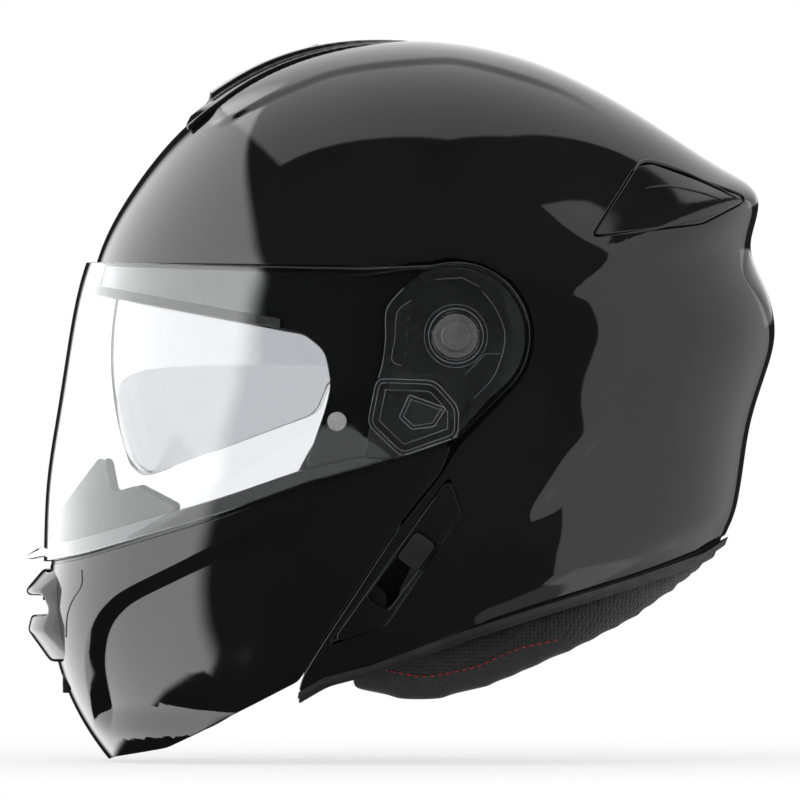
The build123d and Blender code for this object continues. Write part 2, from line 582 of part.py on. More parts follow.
# Sun visor, swinging inside the shell about its own pins
with BuildPart() as sun_visor:
    add(side_block(SUN_SHARES, EDGE_CORNER, -OVERRUN, OVERRUN))
    add(dome(SUN_RADIUS, SUN_SIDE, SUN_PIVOT_SHARE), mode=Mode.INTERSECT)
    add(dome(SUN_RADIUS - SUN_THICK, SUN_SIDE - SUN_THICK, SUN_PIVOT_SHARE), mode=Mode.SUBTRACT)
    add(side_disc(SUN_PIN_RADIUS + RUNNING_GAP, -OVERRUN, OVERRUN, SUN_PIVOT_SHARE), mode=Mode.SUBTRACT)
finish(sun_visor.part, "sun_visor")

with BuildPart() as sun_pins:
    sun_back = SUN_SIDE - SUN_THICK
    for side in (-1, 1):
        add(side_disc(SUN_PIN_RADIUS, side * sun_back, side * recess_back_side, SUN_PIVOT_SHARE))
        sun_head_side = side * (SUN_SIDE + SOFT_GAP)
        add(side_disc(SUN_HEAD_RADIUS, sun_head_side, side * recess_back_side, SUN_PIVOT_SHARE))
        add(side_disc(SUN_HEAD_RADIUS, side * (sun_back - SUN_HEAD_THICK), side * (sun_back - RUNNING_GAP),
                      SUN_PIVOT_SHARE))
finish(sun_pins.part, "sun_visor_pins")

# Energy-absorbing foam liner, cleared for the sun visor, the pads and the bush nuts
foam_recess_back = envelope(
    SHELL_SHARES, SHELL_SIDE, RECESS_DEPTH + SHELL_WALL + SOFT_GAP, recess_drop + SHELL_WALL + SOFT_GAP
)
with BuildPart() as foam_backing:
    add(side_block(RECESS_SHARES, SMALL_CORNER, -OVERRUN, OVERRUN, grow=SHELL_WALL + SOFT_GAP))
    add(side_disc(RECESS_TAIL_RADIUS + SHELL_WALL + SOFT_GAP, -OVERRUN, OVERRUN))
    add(foam_recess_back, mode=Mode.SUBTRACT)

with BuildPart() as sun_pocket:
    add(side_block(SUN_POCKET_SHARES, EDGE_CORNER, -OVERRUN, OVERRUN))
    add(side_disc(SUN_ARM_REACH, -OVERRUN, OVERRUN, SUN_PIVOT_SHARE))
    sun_floor_drop = SUN_THICK + SUN_HEAD_THICK + SOFT_GAP
    add(dome(SUN_RADIUS - sun_floor_drop, SUN_SIDE - sun_floor_drop, SUN_PIVOT_SHARE), mode=Mode.SUBTRACT)

head_outside = envelope(HEAD_SHARES, HEAD_SIDE + LINER_THICK, -LINER_THICK, 0)
head_space = envelope(HEAD_SHARES, HEAD_SIDE, 0, 0)
liner_outside = envelope(HEAD_SHARES, HEAD_SIDE + LINER_THICK, SOFT_GAP - LINER_THICK, SOFT_GAP)


def pad_block(inner_side, outer_side, grow=0):
    """A cheek pad lofted inwards through outlines that shrink towards its crown."""
    with BuildPart() as pad:
        centre = Vector(*CHEEK_CENTRE_SHARE) * SHELL_REACH
        for place_share, size_share in PAD_CROWN_SHARES:
            with BuildSketch(side_plane.offset(inner_side + place_share * (outer_side - inner_side))):
                with BuildLine():
                    corners = [
                        centre + (Vector(across, up) * SHELL_REACH - centre) * size_share
                        for across, up in CHEEK_SHARES
                    ]
                    FilletPolyline(*corners, radius=CHEEK_CORNER, close=True)
                make_face()
                if grow:
                    offset(amount=grow)
        loft()
    return pad.part


cheek_pad = pad_block(CHEEK_INNER_SIDE, CHEEK_OUTER_SIDE)
finish_pair(cheek_pad, "cheek_pad")

with BuildPart() as cheek_room:
    add(side_block(CHEEK_SHARES, CHEEK_CORNER, -CHEEK_OUTER_SIDE - SOFT_GAP, CHEEK_OUTER_SIDE + SOFT_GAP,
                   grow=SOFT_GAP))

strap_out = STRAP_SHARES[0][0] * SHELL_REACH + STRAP_THICK / 2
strap_high = PIVOT_HEIGHT + STRAP_SHARES[0][1] * SHELL_REACH
with BuildPart() as strap_room:
    with Locations((PIVOT_SETBACK + STRAP_BACK + STRAP_WIDTH / 2, 0, strap_high + SOFT_GAP)):
        Box(STRAP_WIDTH + 2 * SOFT_GAP, 2 * (strap_out + SOFT_GAP), OVERRUN,
            align=(Align.CENTER, Align.CENTER, Align.MAX))

with BuildPart() as eps_liner:
    add(foam_outside)
    add(foam_backing.part, mode=Mode.SUBTRACT)
    add(sun_pocket.part, mode=Mode.SUBTRACT)
    add(head_outside, mode=Mode.SUBTRACT)
    add(cheek_room.part, mode=Mode.SUBTRACT)
    add(side_block(EPS_BELOW_SHARES, EDGE_CORNER, -OVERRUN, OVERRUN), mode=Mode.SUBTRACT)
    add(side_block(OPENING_SHARES, EDGE_CORNER, -OVERRUN, OVERRUN, grow=SHELL_WALL), mode=Mode.SUBTRACT)
    add(side_disc(BUSH_RADIUS + SOFT_GAP, -OVERRUN, OVERRUN), mode=Mode.SUBTRACT)
    add(side_disc(RIVET_RADIUS + SOFT_GAP, -OVERRUN, OVERRUN, RIVET_SHARE), mode=Mode.SUBTRACT)
    add(strap_room.part, mode=Mode.SUBTRACT)
for end, split_shares in (
    ("front", ((-2, -2), (FOAM_SPLIT_SHARE, -2), (FOAM_SPLIT_SHARE, 2), (-2, 2))),
    ("rear", ((FOAM_SPLIT_SHARE, -2), (2, -2), (2, 2), (FOAM_SPLIT_SHARE, 2))),
):
    with BuildPart() as foam_block:
        add(eps_liner.part)
        add(side_block(split_shares, EDGE_CORNER, 0, OVERRUN), mode=Mode.INTERSECT)
    finish_pair(foam_block.part, f"foam_{end}")

with BuildPart() as crown_liner:
    add(side_block(CROWN_SHARES, EDGE_CORNER, -OVERRUN, OVERRUN))
    add(liner_outside, mode=Mode.INTERSECT)
    add(head_space, mode=Mode.SUBTRACT)
finish(crown_liner.part, "crown_liner")

# Soft roll round the neck, lofted along the rim from one cheek round the back to the other
roll_stations = list(ROLL_SHARES) + [(back, -out, top, low) for back, out, top, low in ROLL_SHARES[-2::-1]]
with BuildPart() as neck_roll:
    for index, (back, out, top, low) in enumerate(roll_stations):
        before = roll_stations[max(index - 1, 0)]
        after = roll_stations[min(index + 1, len(roll_stations) - 1)]
        along = Vector(after[0] - before[0], before[1] - after[1], 0)
        place = Vector(PIVOT_SETBACK, 0, PIVOT_HEIGHT) + Vector(back, -out, (top + low) / 2) * SHELL_REACH
        with BuildSketch(Plane(origin=place, x_dir=along.cross(Vector(0, 0, 1)), z_dir=along)):
            RectangleRounded(ROLL_THICK, (top - low) * SHELL_REACH, ROLL_CORNER)
    loft()
    add(foam_outside, mode=Mode.INTERSECT)
finish(neck_roll.part, "neck_roll")

# Rubber trim under the rim of the shell
with BuildPart() as edge_trim:
    add(below_block)
    add(below_block.moved(Location((0, 0, -TRIM_HEIGHT))), mode=Mode.SUBTRACT)
    add(shell_outside, mode=Mode.INTERSECT)
    add(shell_inside, mode=Mode.SUBTRACT)
    add(side_block(OPENING_SHARES, EDGE_CORNER, -OVERRUN, OVERRUN), mode=Mode.SUBTRACT)
finish(edge_trim.part, "edge_trim")

# Seal along the brow of the eye port
seal_outside = envelope(SHELL_SHARES, SHELL_SIDE, RECESS_DEPTH - SEAL_HEIGHT, recess_drop - SEAL_HEIGHT)
with BuildPart() as eye_port_seal:
    add(side_block(SEAL_SHARES, SEAL_CORNER, -OVERRUN, OVERRUN))
    add(seal_outside, mode=Mode.INTERSECT)
    add(recess_floor, mode=Mode.SUBTRACT)
finish(eye_port_seal.part, "eye_port_seal")


def shell_side_at(across_share, up_share, reach_share):
    """Distance of the shell's outer surface from the mid-plane, where the silhouette has a given reach."""
    fill = (across_share ** 2 + up_share ** 2) / reach_share ** 2
    return SHELL_SIDE / FLAT_SHARE * (1 - fill) ** (1 / FULLNESS)


def on_shell(place_share):
    """The point of the left side of the shell at a place low on the cheek."""
    across, up = place_share
    return Vector(
        PIVOT_SETBACK + across * SHELL_REACH, -shell_side_at(across, up, CHEEK_REACH_SHARE),
        PIVOT_HEIGHT + up * SHELL_REACH,
    )


# Side panel over the cheek, with the track of the sun visor's slider
slide_start = on_shell(SLIDER_TOP_SHARE)
slide_end = on_shell(SLIDER_LOW_SHARE)
slide_along = (slide_end - slide_start).normalized()
slide_out = slide_along.cross(Vector(0, 1, 0)).cross(slide_along).normalized() * -1
slide_plane = Plane(origin=slide_start, x_dir=slide_along, z_dir=slide_out)

with BuildPart() as side_panel:
    add(side_block(PANEL_SHARES, SMALL_CORNER, 0, OVERRUN))
    add(shell_outside, mode=Mode.INTERSECT)
    add(insert_floor, mode=Mode.SUBTRACT)
finish(mirror(side_panel.part, about=Plane.XZ, mode=Mode.PRIVATE), "side_panel_right")

with BuildPart() as side_panel_left:
    add(side_panel.part)
    with BuildSketch(slide_plane.offset(-SHELL_WALL)):
        with Locations((SLIDER_TRAVEL / 2, 0)):
            RectangleRounded(
                SLIDER_LONG + SLIDER_TRAVEL + 2 * TRACK_GAP, SLIDER_WIDE + 2 * TRACK_GAP, SLIDER_CORNER
            )
    extrude(amount=2 * SHELL_WALL, mode=Mode.SUBTRACT)
finish(side_panel_left.part, "side_panel_left")

with BuildPart() as sun_slider:
    with BuildSketch(slide_plane.offset(-SLIDER_SINK)):
        RectangleRounded(SLIDER_LONG, SLIDER_WIDE, SLIDER_CORNER)
    extrude(amount=SLIDER_THICK)
finish(sun_slider.part, "sun_slider")

# Rear vents sunk into the shell beside the spoiler, each under a ridge that stands flush
sunk_outside = envelope(SHELL_SHARES, SHELL_SIDE, VENT_SINK, VENT_SINK)
vent_inside = envelope(SHELL_SHARES, SHELL_SIDE, PANEL_DEPTH - SOFT_GAP, PANEL_DEPTH - SOFT_GAP)
with BuildPart() as vent_ridge:
    add(side_block(VENT_RIDGE_SHARES, RIDGE_CORNER, 0, OVERRUN))
    add(shell_outside, mode=Mode.INTERSECT)
    add(vent_inside, mode=Mode.SUBTRACT)

with BuildPart() as rear_vent:
    add(side_block(REAR_VENT_SHARES, SMALL_CORNER, 0, OVERRUN))
    add(sunk_outside, mode=Mode.INTERSECT)
    add(vent_inside, mode=Mode.SUBTRACT)
    add(vent_ridge.part)
finish_pair(rear_vent.part, "rear_vent")

def fin(lift_shares, profile_shares, plan_shares, inset=0, grow=0):
    """One fin of the top vent, or the space under it, down to the shell."""
    lifted_shares = [(angle, share + lift_shares.get(angle, 0)) for angle, share in SHELL_SHARES]
    with BuildPart() as body:
        add(side_block(profile_shares, SMALL_CORNER, -OVERRUN, OVERRUN))
        add(plan_block(plan_shares, EDGE_CORNER, grow), mode=Mode.INTERSECT)
        add(envelope(lifted_shares, SHELL_SIDE, inset, 0), mode=Mode.INTERSECT)
        add(shell_outside, mode=Mode.SUBTRACT)
    return body.part


# Top vent: two fins with an intake under the lip of each, and the slider that opens them
with BuildPart() as top_vent:
    add(fin(BROAD_LIFT_SHARES, BROAD_FIN_SHARES, BROAD_PLAN_SHARES))
    add(fin(BROAD_LIFT_SHARES, INTAKE_SHARES, BROAD_PLAN_SHARES, FIN_WALL, -FIN_RIB), mode=Mode.SUBTRACT)
    add(fin(RIDGE_LIFT_SHARES, RIDGE_FIN_SHARES, RIDGE_PLAN_SHARES))
    add(fin(RIDGE_LIFT_SHARES, INTAKE_SHARES, RIDGE_PLAN_SHARES, FIN_WALL, -FIN_RIB), mode=Mode.SUBTRACT)
    with BuildSketch(top_plane.offset(-TOP_SLIDER_SINK)):
        with Locations((TOP_SLIDER_TRAVEL / 2, 0)):
            RectangleRounded(
                TOP_SLIDER_LONG + TOP_SLIDER_TRAVEL + 2 * TRACK_GAP, TOP_SLIDER_WIDE + 2 * TRACK_GAP,
                SLIDER_CORNER
            )
    extrude(amount=2 * TOP_SLIDER_THICK, mode=Mode.SUBTRACT)
finish(top_vent.part, "top_vent_base")

with BuildPart() as top_slider:
    with BuildSketch(top_plane.offset(TRACK_GAP - TOP_SLIDER_SINK)):
        RectangleRounded(TOP_SLIDER_LONG, TOP_SLIDER_WIDE, SLIDER_CORNER)
    extrude(amount=TOP_SLIDER_THICK)
finish(top_slider.part, "top_vent_slider")

# Latches of the chin bar and the strikers in the shell
with BuildPart() as latch:
    with BuildSketch(side_plane.offset(LATCH_NEAR)):
        for place in (LATCH_PIVOT_SHARE, STRIKER_SHARE):
            with Locations((place[0] * SHELL_REACH, place[1] * SHELL_REACH)):
                Circle(LATCH_BOSS_RADIUS)
        make_hull()
        with Locations((STRIKER_SHARE[0] * SHELL_REACH, STRIKER_SHARE[1] * SHELL_REACH)):
            Circle(STRIKER_RADIUS + JAW_GAP, mode=Mode.SUBTRACT)
            Rectangle(2 * STRIKER_RADIUS + 2 * JAW_GAP, LATCH_JAW, align=(Align.CENTER, Align.MAX),
                      mode=Mode.SUBTRACT)
            Rectangle(LATCH_JAW, LATCH_JAW, align=(Align.MIN, Align.MAX), mode=Mode.SUBTRACT)
        with Locations((LATCH_PIVOT_SHARE[0] * SHELL_REACH, LATCH_PIVOT_SHARE[1] * SHELL_REACH)):
            Circle(LATCH_PIN_RADIUS + RUNNING_GAP, mode=Mode.SUBTRACT)
    extrude(amount=LATCH_THICK)
finish_pair(latch.part, "latch")

with BuildPart() as strikers:
    for side in (-1, 1):
        add(side_disc(STRIKER_RADIUS, side * LATCH_NEAR, side * OVERRUN, STRIKER_SHARE))
        add(side_disc(STRIKER_FLANGE_RADIUS, side * STRIKER_FLANGE_NEAR, side * OVERRUN, STRIKER_SHARE))
    add(shell_inside, mode=Mode.INTERSECT)
finish(strikers.part, "strikers")

# Chin strap with its riveted anchors and ratchet buckle
rivet_near = STRAP_SHARES[0][0] * SHELL_REACH - STRAP_THICK / 2 - RUNNING_GAP
with BuildPart() as strap_left:
    with BuildSketch(Plane.YZ.offset(PIVOT_SETBACK + STRAP_BACK)):
        with BuildLine():
            route = [(-out * SHELL_REACH, PIVOT_HEIGHT + up * SHELL_REACH) for out, up in STRAP_SHARES]
            FilletPolyline(*route, radius=STRAP_BEND)
        trace(line_width=STRAP_THICK)
    extrude(amount=STRAP_WIDTH)
    add(side_disc(RIVET_RADIUS + RUNNING_GAP, 0, OVERRUN, RIVET_SHARE), mode=Mode.SUBTRACT)
finish_pair(strap_left.part, "chin_strap")

with BuildPart() as strap_rivets:
    for side in (-1, 1):
        add(side_disc(RIVET_RADIUS, side * rivet_near, side * OVERRUN, RIVET_SHARE))
        rivet_head = side_disc(RIVET_HEAD_RADIUS, side * rivet_near, side * (rivet_near - RIVET_HEAD_THICK),
                               RIVET_SHARE)
        add(rivet_head)
    add(shell_inside, mode=Mode.INTERSECT)
finish(strap_rivets.part, "strap_rivets")

# Ratchet buckle: body on the left strap, toothed tongue on the right one and a release lever on top
strap_middle = PIVOT_SETBACK + STRAP_BACK + STRAP_WIDTH / 2
strap_top = PIVOT_HEIGHT + STRAP_SHARES[-1][1] * SHELL_REACH + STRAP_THICK / 2
buckle_plane = Plane(origin=(strap_middle, 0, strap_top), x_dir=(0, 1, 0), z_dir=(0, 0, 1))
buckle_end = BUCKLE_LONG * BUCKLE_OVERHANG_SHARE
hinge_from = buckle_end - BUCKLE_LONG + LEVER_BARREL_RADIUS
hinge_up = BUCKLE_THICK + LEVER_BARREL_RADIUS + TONGUE_GAP
hinge_plane = Plane(
    origin=(strap_middle, hinge_from, strap_top + hinge_up), x_dir=(0, 1, 0), z_dir=(1, 0, 0)
)
with BuildPart() as buckle_body:
    with BuildSketch(buckle_plane):
        with Locations((buckle_end - BUCKLE_LONG / 2, 0)):
            RectangleRounded(BUCKLE_LONG, BUCKLE_WIDE, BUCKLE_CORNER)
    extrude(amount=BUCKLE_THICK)
    with BuildSketch(buckle_plane.offset(TONGUE_LIFT - TONGUE_GAP)):
        with Locations((buckle_end, 0)):
            Rectangle(TONGUE_LONG + 2 * TONGUE_GAP, TONGUE_WIDE + 2 * TONGUE_GAP)
    extrude(amount=TONGUE_THICK + 2 * TONGUE_GAP, mode=Mode.SUBTRACT)
    for side in (-1, 1):
        with BuildSketch(hinge_plane.offset(side * BUCKLE_WIDE / 2)):
            Circle(LEVER_BARREL_RADIUS)
            Rectangle(2 * LEVER_BARREL_RADIUS, hinge_up, align=(Align.CENTER, Align.MAX))
        extrude(amount=-side * EAR_THICK)
    with BuildSketch(hinge_plane.offset(-BUCKLE_WIDE / 2)):
        Circle(LEVER_PIN_RADIUS)
    extrude(amount=BUCKLE_WIDE)
finish(buckle_body.part, "buckle_body")

with BuildPart() as buckle_lever:
    with BuildSketch(hinge_plane.offset(-LEVER_WIDE / 2)):
        Circle(LEVER_BARREL_RADIUS)
        Rectangle(LEVER_LONG, LEVER_THICK, align=(Align.MIN, Align.CENTER))
        Circle(LEVER_PIN_RADIUS + RUNNING_GAP, mode=Mode.SUBTRACT)
    extrude(amount=LEVER_WIDE)
finish(buckle_lever.part, "buckle_lever")

with BuildPart() as buckle_tongue:
    with BuildSketch(buckle_plane.offset(TONGUE_LIFT)):
        with Locations((buckle_end, 0)):
            Rectangle(TONGUE_LONG, TONGUE_WIDE)
    extrude(amount=TONGUE_THICK)
    with BuildSketch(buckle_plane):
        with Locations((buckle_end + TONGUE_LONG / 2, 0)):
            Rectangle(TONGUE_FOOT, TONGUE_WIDE, align=(Align.MAX, Align.CENTER))
    extrude(amount=TONGUE_LIFT)
finish(buckle_tongue.part, "buckle_tongue")
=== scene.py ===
from math import cos, pi, radians, sin

import bpy
import numpy as np
from mathutils import Matrix, Vector
from mathutils.bvhtree import BVHTree
from mathutils.geometry import delaunay_2d_cdt


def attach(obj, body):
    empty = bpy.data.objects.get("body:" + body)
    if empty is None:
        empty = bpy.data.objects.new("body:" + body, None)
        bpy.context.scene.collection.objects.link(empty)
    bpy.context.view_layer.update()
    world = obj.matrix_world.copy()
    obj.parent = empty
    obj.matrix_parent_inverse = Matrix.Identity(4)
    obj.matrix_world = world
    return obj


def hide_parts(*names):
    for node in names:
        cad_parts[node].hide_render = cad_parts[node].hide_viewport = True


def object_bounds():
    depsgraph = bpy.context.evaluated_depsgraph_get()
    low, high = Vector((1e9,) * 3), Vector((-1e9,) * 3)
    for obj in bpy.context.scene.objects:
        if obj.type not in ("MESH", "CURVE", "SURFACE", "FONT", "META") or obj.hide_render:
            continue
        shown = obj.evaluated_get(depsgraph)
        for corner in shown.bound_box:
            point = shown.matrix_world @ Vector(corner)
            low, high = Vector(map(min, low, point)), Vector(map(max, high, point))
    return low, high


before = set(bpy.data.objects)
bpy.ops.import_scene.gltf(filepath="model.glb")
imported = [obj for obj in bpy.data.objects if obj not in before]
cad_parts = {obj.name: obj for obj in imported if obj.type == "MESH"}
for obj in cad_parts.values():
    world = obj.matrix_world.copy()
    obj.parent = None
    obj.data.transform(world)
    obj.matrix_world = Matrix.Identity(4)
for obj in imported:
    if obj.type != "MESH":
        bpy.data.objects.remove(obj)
cad_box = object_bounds()
scene = bpy.context.scene

# Sizes in metres, as in the frame
MM = 0.001
PIVOT = np.array((0.025, 0.0, 0.1808))
SUN_PIVOT = np.array((0.01253, 0.0, 0.17274))
REACH = 0.126
# Section of the layers: how full it is, and how it blends into the flat sides
FLAT_SHARE = 0.96
FULLNESS = 2.1
SIDE_BLEND = 0.0009
BLEND_REACH = 12 * SIDE_BLEND
# Meshes: rounded edges, points along lines, steps of the search for the mid-plane
ROUND = 0.5 * MM
LINE_SPACING = 2 * MM
HALVINGS = 30
TINY = 1e-12
MIRROR = np.array((1, -1, 1))


def unit(vectors, least=0.0):
    return vectors / (np.linalg.norm(vectors, axis=-1, keepdims=True) + least)


class Silhouette:
    """A closed smooth radius round the ear pivot, from given angles (the first 0) and shares."""

    def __init__(self, shares, size=REACH):
        angles, radii = np.array(shares, dtype=float).T
        angles, radii = np.radians(angles), radii * size
        steps = np.diff(np.append(angles, 2 * pi))
        before = np.roll(steps, 1)
        own = np.eye(len(angles))
        system = (own * 2 * (1 / before + 1 / steps)[:, None] + np.roll(own, -1, axis=1) / before[:, None]
                  + np.roll(own, 1, axis=1) / steps[:, None])
        rise_before = (radii - np.roll(radii, 1)) / before ** 2
        rise_after = (np.roll(radii, -1) - radii) / steps ** 2
        self.angles, self.radii, self.steps = angles, radii, steps
        self.slopes = np.linalg.solve(system, 3 * (rise_before + rise_after))

    def __call__(self, angle):
        turned = np.mod(angle, 2 * pi)
        low = np.searchsorted(self.angles, turned, side="right") - 1
        high = (low + 1) % len(self.angles)
        step = self.steps[low]
        t = (turned - self.angles[low]) / step
        return (
            (2 * t ** 3 - 3 * t ** 2 + 1) * self.radii[low]
            + (t ** 3 - 2 * t ** 2 + t) * step * self.slopes[low]
            + (3 * t ** 2 - 2 * t ** 3) * self.radii[high] + (t ** 3 - t ** 2) * step * self.slopes[high]
        )


class Surface:
    """A smooth layer of the helmet: (u, v) turn round the pivot, and a quarter turn is the mid-plane."""

    def __init__(self, silhouette, side, inset=0.0, side_inset=None, centre=PIVOT, relief=None):
        self.silhouette = silhouette
        self.inset = inset
        self.side = side - (inset if side_inset is None else side_inset)
        self.centre = centre
        self.relief = relief

    def base(self, u, v):
        swing, angle = np.hypot(u, v), np.arctan2(v, u)
        radius = (self.silhouette(angle) - self.inset) * np.sin(swing)
        tilt = np.cos(swing)
        width = self.side / FLAT_SHARE * np.abs(tilt) ** (2 / FULLNESS)
        capped = -SIDE_BLEND * np.logaddexp(-width / SIDE_BLEND, -self.side / SIDE_BLEND)
        capped = np.where(width < self.side - BLEND_REACH, width, capped)
        return self.centre + np.stack(
            (radius * np.cos(angle), -np.sign(tilt) * capped, radius * np.sin(angle)), axis=-1
        )

    def normal_of(self, function, u, v, step=2e-4):
        along = function(u + step, v) - function(u - step, v)
        across = function(u, v + step) - function(u, v - step)
        return unit(np.cross(along, across))

    def point(self, u, v):
        place = self.base(u, v)
        if self.relief is None:
            return place
        offset = (place - PIVOT) / REACH
        height = self.relief(offset[..., 0], offset[..., 2])
        return place + self.normal_of(self.base, u, v) * height[..., None]

    def normal(self, u, v):
        return self.normal_of(self.point, u, v)

    def disc(self, across, up):
        """The (u, v) of a place in the side view, given in metres from the surface's own centre."""
        angle = np.arctan2(up, across)
        reach = np.hypot(across, up) / (self.silhouette(angle) - self.inset)
        swing = np.arcsin(np.clip(reach, 0, 1))
        return swing * np.cos(angle), swing * np.sin(angle), reach


def rounded(shares, corner=0.02, steps=5):
    """A closed outline in shares of the reach, with its corners rounded."""
    points = np.array(shares, dtype=float)
    curve = []
    for point, *others in zip(points, np.roll(points, 1, axis=0), np.roll(points, -1, axis=0)):
        ends = []
        for other in others:
            way = other - point
            length = np.linalg.norm(way)
            ends.append(point + way / length * min(corner, 0.4 * length))
        for t in np.linspace(0, 1, steps):
            curve.append((1 - t) ** 2 * ends[0] + 2 * t * (1 - t) * point + t ** 2 * ends[1])
    return np.array(curve)


def ring(radius, centre_share=(0, 0), count=48):
    """A circle in shares of the reach, from its radius in metres."""
    turn = np.linspace(0, 2 * pi, count, endpoint=False)
    return np.array(centre_share) + radius / REACH * np.stack((np.cos(turn), np.sin(turn)), axis=-1)


def inside(outline, across, up):
    """True where a place in the side view lies inside a closed outline."""
    result = np.zeros(np.shape(across), dtype=bool)
    for (x0, y0), (x1, y1) in zip(outline, np.roll(outline, -1, axis=0)):
        if y0 == y1:
            continue
        crosses = (y0 > up) != (y1 > up)
        result ^= crosses & (across < (x1 - x0) * (up - y0) / (y1 - y0) + x0)
    return result


def inside_any(outlines, across, up):
    return np.any([inside(outline, across, up) for outline in outlines], axis=0)


def densified(line, closed, spacing):
    ends = np.roll(line, -1, axis=0) if closed else line[1:]
    pieces = []
    for start, end in zip(line, ends):
        count = max(1, int(np.ceil(np.linalg.norm(end - start) / spacing)))
        pieces.append(start + (end - start) * np.linspace(0, 1, count, endpoint=False)[:, None])
    if not closed:
        pieces.append(line[-1:])
    return np.concatenate(pieces)


def half_mesh(surface, kept, cut, guides, spacing):
    """A layer's left half, inside the kept and outside the cut outlines: (u, v) places and triangles."""
    centre_share = ((surface.centre - PIVOT) / REACH)[[0, 2]]
    places, edges = [], []
    for number, line in enumerate((*kept, *cut, *guides)):
        closed = number < len(kept) + len(cut)
        dense = densified((line - centre_share) * REACH, closed, LINE_SPACING)
        u, v, reach = surface.disc(*dense.T)
        first = len(places)
        places.extend(zip(u, v))
        near = reach < 1
        total = len(dense)
        for i in range(total if closed else total - 1):
            j = (i + 1) % total
            if near[i] and near[j]:
                edges.append((first + i, first + j))
            elif near[i] != near[j]:
                a, b = (dense[i], dense[j]) if near[i] else (dense[j], dense[i])
                low, high = 0.0, 1.0
                for _ in range(HALVINGS):
                    middle = (low + high) / 2
                    if surface.disc(*(a + (b - a) * middle))[2] < 1:
                        low = middle
                    else:
                        high = middle
                x, y = a + (b - a) * low
                angle = np.arctan2(y, x)
                places.append((pi / 2 * cos(angle), pi / 2 * sin(angle)))
                edges.append((first + i if near[i] else first + j, len(places) - 1))
    rings = int(pi / 2 / spacing)
    for index in range(rings + 1):
        swing = pi / 2 * index / rings
        around = max(6, int(2 * pi * swing / spacing / 6) * 6)
        for turn in np.arange(around) * 2 * pi / around:
            places.append((swing * cos(turn), swing * sin(turn)))
    found = delaunay_2d_cdt([Vector(place) for place in places], edges, [], 0, 1e-7)
    spots = np.array(found[0])
    faces = np.array([face for face in found[2] if len(face) == 3])
    corners = spots[faces]
    x, y = corners.mean(axis=1).T
    swing, angle = np.hypot(x, y), np.arctan2(y, x)
    radius = (surface.silhouette(angle) - surface.inset) * np.sin(swing) / REACH
    across = radius * np.cos(angle) + centre_share[0]
    up = radius * np.sin(angle) + centre_share[1]
    double_area = np.cross(corners[:, 1] - corners[:, 0], corners[:, 2] - corners[:, 0])
    good = ~inside_any(cut, across, up) & (swing < pi / 2) & (np.abs(double_area) > TINY)
    if kept:
        good &= inside_any(kept, across, up)
    faces = faces[good]
    flipped = double_area[good] < 0
    faces[flipped] = faces[flipped][:, ::-1]
    used, faces = np.unique(faces, return_inverse=True)
    return spots[used], faces.reshape(-1, 3)


def rim_rings(points, normals, faces, thick):
    """The free edges of a layer, and the rings of vertices that round them and close it to its back."""
    sides = dict.fromkeys((face[i], face[(i + 1) % 3]) for face in faces for i in range(3))
    free = [(a, b) for a, b in sides if (b, a) not in sides]
    outward = {}
    for a, b in free:
        direction = points[b] - points[a]
        for end in (a, b):
            outward[end] = outward.get(end, 0) + unit(np.cross(direction, normals[end]), TINY)
    rim = sorted(outward)
    lean = unit(np.array([outward[i] for i in rim]), TINY)
    base, up = points[rim], normals[rim]
    rings = [
        (base + lean * ROUND * sin(turn) - up * ROUND * (1 - cos(turn)), up * cos(turn) + lean * sin(turn))
        for turn in (pi / 6, pi / 3, pi / 2)
    ]
    return rim, free, [*rings, (base + lean * ROUND - up * thick, lean)]


def skin(name, surface, kept, cut, thick, *looks, guides=(), spacing=1.9):
    """A piece of a layer with rounded edges and a back, mirrored to the right side."""
    spots, faces = half_mesh(surface, kept, cut, guides, radians(spacing))
    u, v = spots.T
    points, normals = surface.point(u, v), surface.normal(u, v)
    middle = np.abs(np.hypot(u, v) - pi / 2) < 1e-6
    points[middle, 1] = 0
    normals[middle, 1] = 0
    normals = unit(normals)
    count = len(points)
    twin = np.arange(count) + count * ~middle
    points = np.concatenate((points, points * MIRROR))
    normals = np.concatenate((normals, normals * MIRROR))
    faces = np.concatenate((faces, twin[faces][:, ::-1]))
    used, faces = np.unique(faces, return_inverse=True)
    points, normals, faces = points[used], normals[used], faces.reshape(-1, 3)
    rim, free, rings = rim_rings(points, normals, faces, thick)
    layers = [(points, normals)] + rings + [(points - normals * thick, -normals)]
    starts = np.cumsum([len(layer) for layer, _ in layers[:-1]])
    place = {vertex: index for index, vertex in enumerate(rim)}
    polygons = [tuple(face) for face in faces]
    for a, b in free:
        chain = [(a, b)] + [(start + place[a], start + place[b]) for start in starts[:-1]]
        chain.append((starts[-1] + a, starts[-1] + b))
        for low, high in zip(chain, chain[1:]):
            polygons.append((low[1], low[0], high[0], high[1]))
    polygons += [tuple(starts[-1] + face[::-1]) for face in faces]
    all_points, all_normals = (np.concatenate(parts) for parts in zip(*layers))
    place_piece(build(name, all_points, polygons, all_normals), *looks)


def linked(name, data):
    made = bpy.data.objects.new(name, data)
    scene.collection.objects.link(made)
    return made


def build(name, points, polygons, normals=None):
    mesh = bpy.data.meshes.new(name)
    mesh.from_pydata(points, [], [tuple(map(int, face)) for face in polygons])
    mesh.validate()
    mesh.shade_smooth()
    if normals is not None and len(mesh.vertices) == len(normals):
        mesh.normals_split_custom_set_from_vertices([tuple(normal) for normal in normals])
    return linked(name, mesh)


def place_piece(piece, body, material, slot, *nodes):
    piece.data.materials.clear()
    piece.data.materials.append(material)
    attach(piece, body)
    if nodes:
        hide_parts(*nodes)


